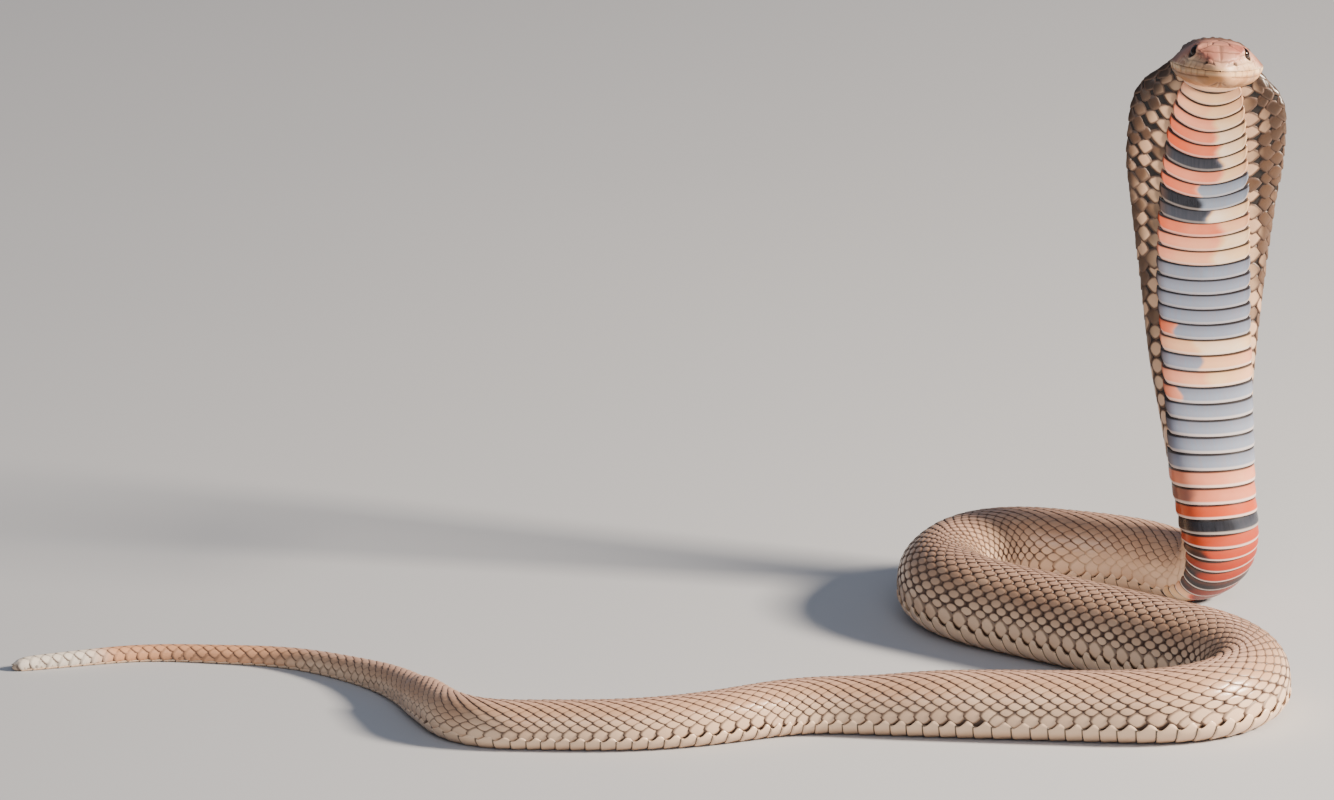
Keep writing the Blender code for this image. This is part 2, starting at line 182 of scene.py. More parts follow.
def lay_spine():
    """Points, headings and back directions every SPINE_STEP along the spine."""
    places = np.arange(0.0, SPINE_LENGTH + SPINE_STEP, SPINE_STEP)
    turns = np.zeros((len(places), 3))
    for middle, span, side, lift, twist in BENDS:
        turns += ease((places - middle) / span + 0.5)[:, None] * np.radians([side, lift, twist])
    heading = math.radians(TAIL_HEADING)
    ahead = np.array([math.cos(heading), math.sin(heading), 0.0])
    back = np.array([0.0, 0.0, 1.0])
    point = np.array([TAIL_TIP[0], TAIL_TIP[1], 0.0])
    points, aheads, backs = [point], [ahead], [back]
    for side, lift, twist in np.diff(turns, axis=0):
        last = ahead
        ahead = turned(ahead, back, side)
        right = np.cross(ahead, back)
        ahead = turned(ahead, right, lift)
        back = turned(turned(back, right, lift), ahead, twist)
        back = back - ahead * np.dot(back, ahead)
        back = back / np.linalg.norm(back)
        ahead = ahead / np.linalg.norm(ahead)
        step = ahead + last
        point = point + SPINE_STEP * step / np.linalg.norm(step)
        points.append(point)
        aheads.append(ahead)
        backs.append(back)
    points = np.array(points)
    lying = np.minimum(places, LIFT_OFF)
    depth = smooth(HALF_WIDTH, lying) * smooth(BELLY_SHARE, lying)
    points[:, 2] += depth - np.minimum(PRESS, PRESS_SHARE * depth)
    return places, points, np.array(aheads), np.array(backs)


PLACES, POINTS, AHEADS, BACKS = lay_spine()
RIGHTS = np.cross(AHEADS, BACKS)


def read_spine(rows, s):
    return np.stack([np.interp(s, PLACES, rows[:, k]) for k in range(3)], axis=-1)


def place(s, right, up):
    """Points at place s along the spine, moved to the right and towards the back."""
    offset = np.asarray(right)[..., None] * read_spine(RIGHTS, s)
    rise = np.asarray(up)[..., None] * read_spine(BACKS, s)
    return read_spine(POINTS, s) + offset + rise


def outline(s, angle):
    """The body's outline: right and up for an angle from the middle of the back."""
    half = smooth(HALF_WIDTH, s)
    edge = smooth(HOOD_EDGE, s)
    sine, cosine = np.sin(angle), np.cos(angle)
    reach = np.abs(cosine)
    back = (half * smooth(BACK_SHARE, s) - edge) * reach ** smooth(BACK_POWER, s)
    belly = (half * smooth(BELLY_SHARE, s) - edge) * reach ** smooth(BELLY_POWER, s)
    rim = edge * np.sqrt(reach)
    up = np.where(cosine > 0, back + rim, -belly - rim) - smooth(HOOD_CUP, s) * sine**2
    return half * sine, up


ANGLE_STEP = 0.02


def skin_point(s, angle, lift=0.0):
    """Points on the body at place s and angle, lifted off the solid's own surface."""
    right, up = outline(s, angle)
    right_before, up_before = outline(s, angle - ANGLE_STEP)
    right_after, up_after = outline(s, angle + ANGLE_STEP)
    across = np.stack([right_after - right_before, up_after - up_before], axis=-1)
    length = np.maximum(np.linalg.norm(across, axis=-1), 1e-9)
    points = place(s, right - lift * across[..., 1] / length, up + lift * across[..., 0] / length)
    points[..., 2] = np.maximum(points[..., 2], 0.0)
    return points


EYE_RADIUS = 2.35
EYE_PLACE = (1120.4, 8.5, 3.9)
eye_low, eye_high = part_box("eye_left")
eye_in_frame = (np.array(eye_low) + np.array(eye_high)) / 2 / MM
SHIFT = eye_in_frame - place(EYE_PLACE[0], -EYE_PLACE[1], EYE_PLACE[2])
print("the frame lies at", np.round(SHIFT, 2), "mm from the spine's own zero")

# %% [markdown]
# ## A class for shader sums
# A material's nodes are sums and mixes of numbers that vary over the surface. They read best as sums, so one
# small class wraps a socket: adding or multiplying two of them adds the Math node for it. Every other node
# comes from one method, which is given the node's type, its settings and what its sockets get.


# %% The class and its helpers
class Wire:
    """One output of a material's nodes."""

    def __init__(self, tree, socket=None):
        self.tree = tree
        self.socket = socket

    def node(self, kind, settings=None, sockets=None, out=0):
        """Adds a node, sets it, fills its sockets with values or wires, and gives back one output."""
        made = self.tree.nodes.new(kind)
        for name, value in (settings or {}).items():
            if name == "stops":
                ramp = made.color_ramp
                while len(ramp.elements) < len(value):
                    ramp.elements.new(1.0)
                for stop, (position, colour) in zip(ramp.elements, value):
                    stop.position = position
                    stop.color = (*colour, 1.0)
            else:
                setattr(made, name, value)
        for name, value in (sockets or {}).items():
            if isinstance(value, Wire):
                self.tree.links.new(value.socket, made.inputs[name])
            else:
                made.inputs[name].default_value = value
        return Wire(self.tree, made.outputs[out])

    def math(self, operation, first, second):
        return self.node("ShaderNodeMath", {"operation": operation}, {0: first, 1: second})

    def __add__(self, other):
        return self.math("ADD", self, other)

    def __radd__(self, other):
        return self.math("ADD", other, self)

    def __sub__(self, other):
        return self.math("SUBTRACT", self, other)

    def __rsub__(self, other):
        return self.math("SUBTRACT", other, self)

    def __mul__(self, other):
        return self.math("MULTIPLY", self, other)

    def __rmul__(self, other):
        return self.math("MULTIPLY", other, self)

    def higher(self, other):
        return self.math("MAXIMUM", self, other)

    def size(self):
        return self.math("ABSOLUTE", self, 0.0)

    def step(self, low, high):
        """0 below low, 1 above high, and a soft slope between them."""
        sockets = {"Value": self, "From Min": low, "From Max": high}
        return self.node("ShaderNodeMapRange", {"interpolation_type": "SMOOTHSTEP"}, sockets)

    def blend(self, first, second):
        """A colour that goes from the first to the second as this value goes from 0 to 1."""
        colours = [c if isinstance(c, Wire) else (*c, 1.0) for c in (first, second)]
        sockets = {0: self, 6: colours[0], 7: colours[1]}
        return self.node("ShaderNodeMix", {"data_type": "RGBA"}, sockets, 2)


def value_of(start, name):
    """A value that the mesh carries at each of its points."""
    return start.node("ShaderNodeAttribute", {"attribute_name": name}, None, "Fac")


def noise(start, scale, detail=2.0, stretch=None):
    """Soft random patches, from 0 to 1, in the object's own space or along a stretched vector."""
    where = stretch or start.node("ShaderNodeTexCoord", None, None, "Object")
    return start.node("ShaderNodeTexNoise", None, {"Vector": where, "Scale": scale, "Detail": detail})


COAT_ROUGHNESS = 0.12


def finish_of(name, roughness, specular=0.5, coat=0.0):
    """A new material with its fixed values set, the start of its nodes, and its shader."""
    made = bpy.data.materials.new(name)
    made.use_nodes = True
    shader = made.node_tree.nodes["Principled BSDF"]
    shader.inputs["Roughness"].default_value = roughness
    shader.inputs["Specular IOR Level"].default_value = specular
    shader.inputs["Coat Weight"].default_value = coat
    shader.inputs["Coat Roughness"].default_value = COAT_ROUGHNESS
    return made, Wire(made.node_tree), shader


def connect(wire, shader, socket):
    wire.tree.links.new(wire.socket, shader.inputs[socket])


def bumped(start, height, distance, shader):
    """Feeds a height from 0 to 1, over a distance in metres, to the shader's normal."""
    sockets = {"Height": height, "Distance": distance, "Strength": 1.0}
    connect(start.node("ShaderNodeBump", None, sockets), shader, "Normal")


print("shader helpers ready")

# %% [markdown]
# ## Colours
# The back is pinkish tan, each scale pale with a brown rim, on nearly black skin. The belly plates go from
# cream through salmon and orange to a deep red at the neck's base, with slate-blue bands. A ramp holds the
# warm colours in order, so that a plate only has to say how warm it is and how much slate covers it.

# %% The palette, and how fine each pattern is
SCALE_PALE = (0.80, 0.565, 0.38)
SCALE_TAN = (0.52, 0.305, 0.185)
SCALE_ROSE = (0.58, 0.35, 0.265)
SCALE_PEACH = (0.86, 0.57, 0.34)
HOOD_BROWN = (0.105, 0.055, 0.03)
SCALE_EDGE = (0.10, 0.055, 0.035)
TAIL_CREAM = (0.84, 0.74, 0.62)
TAIL_ORANGE = (0.72, 0.36, 0.19)
TAIL_SKIN = (0.55, 0.42, 0.31)
# Brown skin between the scales, also used as painted shade at the plate ends.
SKIN_AND_SHADE_BROWN = (0.075, 0.042, 0.028)
# Black skin of the hood, also used as painted shade under the plate rims and in the sockets, nostrils and
# mouth.
SKIN_AND_SHADE_BLACK = (0.016, 0.011, 0.009)
WARM_RAMP = [
    (0.0, (0.89, 0.73, 0.56)),
    (0.12, (0.84, 0.54, 0.28)),
    (0.3, (0.80, 0.31, 0.185)),
    (0.55, (0.60, 0.085, 0.024)),
    (0.78, (0.42, 0.032, 0.005)),
    (1.0, (0.11, 0.007, 0.002)),
]
SLATE = (0.155, 0.20, 0.28)
SLATE_PALE = (0.28, 0.345, 0.45)
# Painted shade for the slate plates' forward part, under the plate ahead.
SLATE_SHADED = (0.06, 0.08, 0.12)
SLATE_BLACK = (0.012, 0.012, 0.015)
# Pale plate rim: partly its own colour, partly a painted highlight.
RIM_PALE_AND_HIGHLIGHT = (0.86, 0.72, 0.64)
CROWN_ROSE = (0.40, 0.135, 0.095)
NAPE_BROWN = (0.15, 0.072, 0.044)
# Painted shade for the hood's shoulders behind the head.
SHOULDER_SHADE = (0.03, 0.018, 0.012)
# Chin ochre, darkened to serve also as painted shade under the jaw.
CHIN_OCHRE_AND_SHADE = (0.42, 0.19, 0.07)
# Painted shade for the warm plates' forward part, under the plate ahead.
WARM_SHADED = (0.36, 0.10, 0.045)
CHEEK_STREAK = (0.34, 0.20, 0.12)
PUPIL_BLACK = (0.003, 0.0025, 0.0025)
IRIS_AMBER = (0.02, 0.008, 0.004)
FLOOR_DIM, FLOOR_PALE = (0.50, 0.51, 0.53), (0.56, 0.57, 0.59)
PER_METRE = {
    "floor clouds": 3.0, "mottle": 38.0, "plate clouds": 70.0, "head patches": 90.0, "cheek lines": 260.0,
    "plate grain": 900.0, "skin grain": 1400.0, "scale grain": 1600.0,
}
GRAIN_DEPTH = {"plate grain": 0.00003, "scale grain": 0.00004, "skin grain": 0.00005}
print("the ramp runs from cream to deep red in", len(WARM_RAMP), "stops")

# %% [markdown]
# ## One unwrap for everything
# Each piece gets a flat map. The body is cut open along its belly and laid out in strips, as a hide would
# be. A small scale keeps only a tiny patch at its root's place, and a broad plate keeps its whole area.

# %% Folding the body flat
STRIPS = 4
BODY_STRIPS = 3
STRIP_LENGTH = 1095.0 / BODY_STRIPS
STRIP_EDGE_U, STRIP_EDGE_V = 0.03, 0.04
PATCH = 0.003
CORNERS = ((0, 0), (0, 1), (1, 1), (1, 0))


def strip_at(s):
    """The strip that each place along the spine lies in."""
    return np.minimum((s // STRIP_LENGTH).astype(int), BODY_STRIPS - 1)


def unwrapped(s, turn, strip):
    """Flat places for spine places and turns round the body, from 0 to 1, in a given strip."""
    u = STRIP_EDGE_U + (1 - 2 * STRIP_EDGE_U) * (s - strip * STRIP_LENGTH) / STRIP_LENGTH
    v = (strip + STRIP_EDGE_V + (1 - 2 * STRIP_EDGE_V) * turn) / STRIPS
    return np.stack([u, v], axis=-1)


def net_faces(rows, columns, closed, first=0):
    """Faces of a net of points, whose columns close on themselves or not."""
    i, j = np.meshgrid(np.arange(rows - 1), np.arange(columns - (not closed)), indexing="ij")
    k = (j + 1) % columns
    a, b = i * columns, (i + 1) * columns
    return (np.stack([a + j, a + k, b + k, b + j], axis=-1) + first).reshape(-1, 4)


def mesh_piece(name, points, faces, values, flat, finish):
    """A mesh object from points in millimetres, faces, values at the points and flat places at the corners."""
    mesh = bpy.data.meshes.new(name)
    mesh.from_pydata(((points + SHIFT) * MM).tolist(), [], faces)
    for key, amounts in values.items():
        held = mesh.attributes.new(key, "FLOAT", "POINT")
        held.data.foreach_set("value", np.ascontiguousarray(amounts, np.float32).ravel())
    layer = mesh.uv_layers.new(name="OFBake")
    layer.data.foreach_set("uv", np.ascontiguousarray(flat, np.float32).ravel())
    mesh.shade_smooth()
    mesh.materials.append(finish)
    made = bpy.data.objects.new(name, mesh)
    bpy.context.scene.collection.objects.link(made)
    triangles = sum(len(face) - 2 for face in faces)
    print(f"{name}: {triangles} triangles")
    return made


print("a hide of", BODY_STRIPS, "strips, each", round(STRIP_LENGTH), "mm long")

# %% [markdown]
# ## Rows of scales
# A cobra's back scales stand in slanting rows, like bricks: each row is half a scale out of step with its
# neighbours. Rows are counted up the flank from the belly plates to the middle of the back. There are few on
# the tail, and 25 at mid-body. They are evenly spread over the curved flank, which needs a table
# from the share of the flank's length to the angle of the outline.

# %% Where the belly plates end and where each row runs
PLATE_REACH_DEG = [(0, 66), (150, 68), (187, 74), (200, 84), (500, 85), (845, 82), (858, 75)]
SCUTE_HALF_WIDTH = [
    (858, 14.0), (903, 15.2), (923, 16.7), (943, 17.9), (961, 18.4), (1002, 18.0), (1042, 16.2),
    (1062, 13.5), (1078, 10.5), (1090, 9.0),
]
RAISED_FROM = 858.0
RIGHT_REACH_MORE_DEG = [(868, 0), (885, 12), (900, 24), (914, 18), (928, 0), (945, -9), (970, -6), (990, 0)]
ROWS_A_SIDE = [
    (0, 1.6), (40, 2.3), (98, 3.1), (133, 4.1), (167, 5.4), (187, 7.2), (200, 8.4), (300, 9.2), (400, 10.2),
    (480, 11.2), (560, 12.2), (860, 12.2), (1068, 12.2), (1090, 10.5),
]
ROW_ROOM = 0.3
LOW_ROWS_LARGER = 1.14
HEAD_START, HEAD_END = 1091.0, 1133.5


def plate_reach(s):
    """How far round the belly a plate reaches from its middle, as an angle."""
    lying = np.radians(smooth(PLATE_REACH_DEG, s))
    share = np.minimum(smooth(SCUTE_HALF_WIDTH, s) / smooth(HALF_WIDTH, s), 0.985)
    return np.where(np.asarray(s) < RAISED_FROM, lying, np.arcsin(share))


# %% The table of the flank
FLANK_STEP = 3.0
FLANK_OVER = 1.2
FLANK_COLUMNS = 96
FINE_ANGLES = 241
MOST_SHARE = 1.19
MIDDLE_OF_BODY = 640

flank_places = np.arange(0.0, HEAD_START + 2 * FLANK_STEP, FLANK_STEP)
fine_angles = np.linspace(0.0, math.pi, FINE_ANGLES)
rights, ups = outline(flank_places[:, None], np.broadcast_to(fine_angles, (len(flank_places), FINE_ANGLES)))
lengths = np.hypot(np.diff(rights, axis=1), np.diff(ups, axis=1)).cumsum(axis=1)
lengths = np.concatenate([np.zeros((len(flank_places), 1)), lengths], axis=1)
ends = math.pi - plate_reach(flank_places)
flank_lengths = np.array([np.interp(end, fine_angles, row) for end, row in zip(ends, lengths)])
shares = np.linspace(0.0, FLANK_OVER, FLANK_COLUMNS + 1)
FLANK_ANGLES = np.array([
    np.interp(shares * to_plate, row, fine_angles) for to_plate, row in zip(flank_lengths, lengths)
])


def flank_angle(s, share):
    """The outline's angle at a share of the way from the middle of the back down to the belly plates."""
    row = np.clip(s / FLANK_STEP, 0, len(FLANK_ANGLES) - 1.001)
    column = np.clip(np.abs(share) / FLANK_OVER * FLANK_COLUMNS, 0, FLANK_COLUMNS - 0.001)
    i, j = row.astype(int), column.astype(int)
    a, b = row - i, column - j
    low = FLANK_ANGLES[i, j] * (1 - b) + FLANK_ANGLES[i, j + 1] * b
    high = FLANK_ANGLES[i + 1, j] * (1 - b) + FLANK_ANGLES[i + 1, j + 1] * b
    return np.sign(share) * (low * (1 - a) + high * a)


def row_share(s, row):
    """How far down the flank a row lies at place s: 0 on the back, 1 at the belly plates."""
    return np.sign(row) * (np.abs(row) / (smooth(ROWS_A_SIDE, s) + 0.5)) ** LOW_ROWS_LARGER


def stations(pitches, first, last):
    """Places along the spine, each a pitch from the one before."""
    found = [first]
    while found[-1] < last:
        found.append(found[-1] + float(smooth(pitches, found[-1])))
    return np.array(found)


mid_flank = float(np.interp(MIDDLE_OF_BODY, flank_places, flank_lengths))
print("flank at mid-body:", round(mid_flank, 1), "mm from back to plates")

# %% [markdown]
# ## The head's shape
# The head is short and broad: wide jaws, a flat crown over the eyes, a blunt snout. It is swept along the
# same spine, with a crown from lip to lip, a jaw under it that is set back a little, and a groove between
# them for the mouth. The solids use nearly the same tables with fewer points. Here the net is fine enough
# for shields.

# %% The head as a fine net
HEAD_LENGTH = HEAD_END - HEAD_START
LIP_HALF_WIDTH = [
    (0, 13.0), (0.12, 15.0), (0.27, 17.5), (0.42, 16.7), (0.58, 14.2), (0.7, 12.3), (0.82, 9.9), (0.91, 8.1),
    (1, 7.2),
]
CROWN_HALF_WIDTH = [
    (0, 8.2), (0.28, 9.8), (0.5, 10.8), (0.68, 10.3), (0.78, 8.3), (0.88, 6.1), (1, 5.0),
]
CROWN_HEIGHT = [
    (0, 6.0), (0.12, 7.2), (0.3, 9.0), (0.55, 9.8), (0.7, 9.3), (0.8, 7.8), (0.9, 5.9), (1, 4.4),
]
JAW_DEPTH = [(0, 7.4), (0.2, 8.0), (0.4, 8.0), (0.6, 7.4), (0.8, 6.6), (1, 6.0)]
LIP_HEIGHT = [(0, -0.4), (0.28, -2.6), (0.6, -2.2), (0.8, -1.6), (1, -1.2)]
SNOUT_ROUND = 0.18
CROWN_POWER = [(0, 0.62), (0.62, 0.62), (0.8, 0.50), (1, 0.54)]
JAW_POWER = 0.8
MOUTH_CORNER = 0.27
MOUTH_OPENS_OVER = 0.06
LIP_OVERHANG = 0.5
JAW_SET_DOWN = 0.35
MOUTH_GROOVE = 0.9
GROOVE_DROPS = (0.06, 0.15)
NECK_BLEND = 0.22
BROW_SHARE = (0.69, 0.11)
BROW_SWELL, BROW_RISE, BROW_RISE_WIDTH = 0.7, 0.86, 0.12
CROWN_COLUMNS = 190
JAW_COLUMNS = 130
HEAD_ROWS = 126
SNOUT_ROWS = 34


def ridge(distance, middle, width):
    """1 at the middle and a soft fall to both sides."""
    return np.exp(-(((distance - middle) / width) ** 2))


def head_shares():
    """Places along the head from nape to snout, closer together where the snout rounds off."""
    straight = np.linspace(0.004, 1 - SNOUT_ROUND, HEAD_ROWS)
    bow = np.linspace(0, math.pi / 2 - 0.03, SNOUT_ROWS)[1:]
    return np.concatenate([straight, 1 - SNOUT_ROUND + SNOUT_ROUND * np.sin(bow)])


def head_net():
    """Right and up for every point of the head, and the lip's height, as arrays of rows and columns."""
    t = head_shares()[:, None]
    into_snout = np.maximum(0.0, (t - 1 + SNOUT_ROUND) / SNOUT_ROUND)
    shrink = np.sqrt(np.maximum(0.0, 1 - into_snout**2))
    lip = smooth(LIP_HALF_WIDTH, t) * shrink
    crown = smooth(CROWN_HALF_WIDTH, t) * shrink
    height = smooth(CROWN_HEIGHT, t) * shrink
    depth = smooth(JAW_DEPTH, t) * shrink
    lip_up = smooth(LIP_HEIGHT, t)
    opening = ease((t - MOUTH_CORNER) / MOUTH_OPENS_OVER) * shrink
    over = np.linspace(0, math.pi, CROWN_COLUMNS + 1)[None, :]
    power = smooth(CROWN_POWER, t)
    rise = np.sin(over) ** power
    reach = np.abs(np.cos(over)) ** power * np.sign(np.cos(over))
    right = (lip * (1 - rise) + crown * rise) * reach
    brow = BROW_SWELL * ridge(t, *BROW_SHARE) * ridge(rise, BROW_RISE, BROW_RISE_WIDTH)
    right = right + brow * np.sign(reach) * ease(np.abs(reach) / 0.4)
    up = height * rise
    under = np.linspace(0, math.pi, JAW_COLUMNS + 1)[None, :]
    jaw_lip = lip - LIP_OVERHANG * opening
    jaw_right = -jaw_lip * np.abs(np.cos(under)) ** JAW_POWER * np.sign(np.cos(under))
    jaw_up = -depth * np.sin(under) ** JAW_POWER - JAW_SET_DOWN * opening
    groove = lip - MOUTH_GROOVE * opening
    tuck = (lip + groove) / 2
    right = np.concatenate([right, -tuck, -groove, jaw_right, groove, tuck], axis=1)
    edge, floor = [np.zeros_like(lip) - drop * opening for drop in GROOVE_DROPS]
    up = np.concatenate([up, edge, floor, jaw_up, floor, edge], axis=1)
    own = ease(t / NECK_BLEND)
    s = HEAD_START + t * HEAD_LENGTH
    angles = np.arctan2(right, up)
    neck_right, neck_up = outline(np.broadcast_to(s, angles.shape), angles)
    right = right * own + neck_right * (1 - own)
    up = (up + lip_up) * own + neck_up * (1 - own)
    return np.broadcast_to(s, right.shape), right, up, np.broadcast_to(lip_up, right.shape)


head_s, head_right, head_up, head_lip = head_net()
IS_CROWN = np.arange(head_s.shape[1]) <= CROWN_COLUMNS
print("head net:", head_s.shape, "points")

# %% [markdown]
# ## Shields, scales and sockets on the head
# The top of a cobra's head has nine large shields: two internasals behind the rostral at the snout's tip,
# two prefrontals, the frontal between a supraocular over each eye, and two parietals behind. Lip shields
# run along both lips. They are thin plates with narrow seams, so the seams are pressed into the net as
# grooves along short lines, measured on the head from above, from the side or from below. The nape and
# throat get small scales.

# %% Seams of the shields
EYE_ALONG = EYE_PLACE[0] - HEAD_START
TOP_SEAMS = [
    [(0.0, 40.4), (0.0, 31.4)],
    [(3.3, 42.2), (2.9, 40.0), (0.0, 40.6)],
    [(2.9, 40.0), (5.8, 38.0)],
    [(0.0, 36.2), (3.0, 36.4), (5.9, 35.2), (7.2, 34.4)],
    [(0.0, 31.4), (3.3, 31.2), (6.4, 33.0), (8.4, 33.2)],
    [(3.3, 31.2), (2.9, 26.4), (0.0, 21.6)],
    [(2.9, 26.4), (8.9, 24.6), (10.6, 24.9)],
    [(0.0, 21.6), (0.0, 11.6)],
    [(0.0, 11.6), (3.8, 9.6), (7.4, 12.6), (9.0, 18.2), (8.9, 24.6)],
    [(9.0, 18.2), (12.5, 17.2)],
    [(7.4, 12.6), (11.5, 10.6)],
]
SIDE_SEAMS = [
    [(41.6, 2.3), (38.6, 2.5), (35.2, 2.7), (32.2, 2.9), (29.3, 2.5)],
    [(29.3, 2.5), (26.4, 2.8), (22.0, 3.7), (16.0, 3.7), (11.0, 2.8)],
    [(38.6, 0.0), (38.6, 2.5)],
    [(35.2, 0.0), (35.2, 2.7), (35.4, 7.2)],
    [(31.4, 0.0), (32.2, 2.9)],
    [(26.9, 0.0), (26.4, 2.8), (25.6, 5.6), (26.0, 8.4)],
    [(21.6, 0.0), (22.0, 3.7), (21.6, 8.4)],
    [(16.0, 0.0), (16.0, 3.7), (15.2, 7.0)],
    [(11.0, 0.0), (11.0, 2.8)],
    [(25.6, 5.6), (21.8, 5.9), (15.6, 5.6)],
    [(38.4, 2.5), (38.0, 5.8)],
    [(32.4, 5.6), (35.3, 5.4)],
]
JAW_SEAMS = [
    [(40.0, -2.7), (34.0, -3.0), (27.0, -3.2), (20.0, -3.2), (12.0, -2.8)],
    [(39.6, 0.0), (39.2, -2.7)],
    [(36.2, 0.0), (35.8, -2.9)],
    [(32.4, 0.0), (31.8, -3.0)],
    [(28.2, 0.0), (27.6, -3.2)],
    [(23.6, 0.0), (23.0, -3.2)],
    [(18.8, 0.0), (18.2, -3.1)],
    [(14.0, 0.0), (13.6, -3.0)],
]
CANTHUS = [[(9.7, 27.2), (8.5, 32.0), (6.2, 37.2)]]
LOREAL = [[(36.4, 2.4), (32.6, 3.2)]]
CHIN_SEAMS = [
    [(0.0, 40.0), (0.0, 24.0)],
    [(0.0, 39.4), (2.2, 40.6)],
    [(0.0, 31.8), (3.6, 31.2)],
    [(1.2, 39.6), (3.2, 36.4), (4.0, 31.2), (3.2, 26.0), (0.0, 23.4)],
    [(4.0, 31.2), (6.6, 31.4)],
]


def distance_to(seams, x, y):
    """How far each point is from the nearest of the lines, in millimetres."""
    nearest = np.full(x.shape, 99.0)
    for seam in seams:
        for (x0, y0), (x1, y1) in zip(seam, seam[1:]):
            run_x, run_y = x1 - x0, y1 - y0
            t = np.clip(((x - x0) * run_x + (y - y0) * run_y) / (run_x**2 + run_y**2), 0, 1)
            nearest = np.minimum(nearest, np.hypot(x - x0 - t * run_x, y - y0 - t * run_y))
    return nearest


def brick_scale(along, across, pitch, row):
    """How far each point is from the middle of its scale, 1 at the rim, for scales laid like bricks."""
    nearest = np.full(np.shape(along + across), 9.0)
    base = np.round(across / row)
    for step in (-1, 0, 1):
        j = base + step
        a = along / pitch - 0.5 * (j % 2)
        a = a - np.round(a)
        b = across / row - j
        nearest = np.minimum(nearest, (np.abs(a / 0.5) ** 1.6 + np.abs(b / 0.86) ** 1.6) ** (1 / 1.6))
    return nearest


# %% Where the head's points lie and how they face
along = head_s - HEAD_START
above_lip = head_up - head_lip
net = np.stack([head_right, along, head_up], axis=-1)
down_rows = np.gradient(net, axis=0)
wrapped = np.concatenate([net[:, -1:], net, net[:, :1]], axis=1)
round_columns = (wrapped[:, 2:] - wrapped[:, :-2]) / 2
normals = np.cross(down_rows, round_columns)
normals /= np.maximum(np.linalg.norm(normals, axis=-1, keepdims=True), 1e-9)
if (normals[..., 2] * IS_CROWN).sum() < 0:
    normals = -normals
crown = np.broadcast_to(IS_CROWN, head_s.shape)
topness = ease((normals[..., 2] - 0.42) / 0.3) * crown
underness = ease((-normals[..., 2] - 0.5) / 0.3) * ~crown
side = np.abs(head_right)

print("share of the net that faces up:", round(float(topness.mean()), 2))

# %% Press shields and scales into the net
SEAM_DEPTH, SEAM_WIDTH = 0.26, 0.34
PILLOW, PILLOW_WIDTH = 0.16, 1.0
NAPE_PITCH, NAPE_ROW, NAPE_HEIGHT = 3.9, 2.5, 0.3
GULAR_PITCH, GULAR_ROW, GULAR_HEIGHT = 4.2, 2.6, 0.2

on_top = distance_to(TOP_SEAMS, side, along)
on_side = distance_to(SIDE_SEAMS, along, above_lip)
on_jaw = distance_to(JAW_SEAMS, along, above_lip)
on_chin = distance_to(CHIN_SEAMS, side, along)
crown_seam = on_top * topness + on_side * (1 - topness)
jaw_seam = on_chin * underness + on_jaw * (1 - underness)
seam = np.where(crown, crown_seam, jaw_seam)

chin_shields = ease((along - 20.0) / 4.0) * underness + ease((along - 9.0) / 3.0) * (1 - underness)
shielded = np.where(crown, ease((along - 8.5) / 2.0), chin_shields)
girth = np.cumsum(np.linalg.norm(np.diff(wrapped[:, :-1], axis=1), axis=-1), axis=1)
middle = girth[:, CROWN_COLUMNS // 2][:, None]
nape_scale = brick_scale(along, girth - middle, NAPE_PITCH, NAPE_ROW)
scale_at = np.where(crown, nape_scale, brick_scale(along, girth - middle, GULAR_PITCH, GULAR_ROW))
height = np.where(crown, NAPE_HEIGHT, GULAR_HEIGHT)
raised = height * (1 - np.minimum(scale_at, 1.1) ** 3) * (1 - shielded)
raised += shielded * (PILLOW * (1 - np.exp(-seam / PILLOW_WIDTH)) - SEAM_DEPTH * ridge(seam, 0, SEAM_WIDTH))
print("seams pressed", round(float(-raised.min()), 2), "mm deep at most")

# %% Sockets, nostrils and the ridge from eye to nostril
SOCKET_DEPTH, SOCKET_RADIUS, SOCKET_EDGE = 2.6, 1.9, 0.35
EYE_OUT = 0.4
EYE_SMOOTH, EYE_SMOOTH_OVER = 2.4, 0.7
EYE_RING, EYE_RING_HEIGHT, EYE_RING_WIDTH = 2.8, 0.34, 0.36
RING_GROOVE, RING_GROOVE_DEPTH, RING_GROOVE_WIDTH = 3.65, 0.16, 0.3
NOSTRIL_ALONG, NOSTRIL_UP, NOSTRIL_RADIUS, NOSTRIL_DEPTH = 38.6, 1.3, 0.62, 1.1
NOSTRIL_RIM, NOSTRIL_RIM_HEIGHT, NOSTRIL_RIM_WIDTH = 1.1, 0.14, 0.3
CANTHUS_HEIGHT, CANTHUS_WIDTH = 0.45, 0.9
LOREAL_DEPTH, LOREAL_WIDTH = 0.6, 1.25

from_eye = np.hypot(along - EYE_ALONG, head_up - EYE_PLACE[2])
beside = crown & (side > 5.0)
raised = np.where(beside, raised * ease((from_eye - EYE_SMOOTH) / EYE_SMOOTH_OVER), raised)
raised += beside * EYE_RING_HEIGHT * ridge(from_eye, EYE_RING, EYE_RING_WIDTH)
raised -= beside * RING_GROOVE_DEPTH * ridge(from_eye, RING_GROOVE, RING_GROOVE_WIDTH)
socket = beside * SOCKET_DEPTH * (1 - ease((from_eye - SOCKET_RADIUS) / SOCKET_EDGE))
from_nostril = np.hypot(along - NOSTRIL_ALONG, head_up - NOSTRIL_UP)
nostril = crown & (side > 3.0)
raised -= nostril * NOSTRIL_DEPTH * np.exp(-((from_nostril / NOSTRIL_RADIUS) ** 4))
raised += nostril * NOSTRIL_RIM_HEIGHT * ridge(from_nostril, NOSTRIL_RIM, NOSTRIL_RIM_WIDTH)
canthus = distance_to(CANTHUS, side, along)
raised += crown * (head_up > 3.0) * CANTHUS_HEIGHT * ridge(canthus, 0, CANTHUS_WIDTH)
raised -= beside * LOREAL_DEPTH * ridge(distance_to(LOREAL, along, head_up), 0, LOREAL_WIDTH)

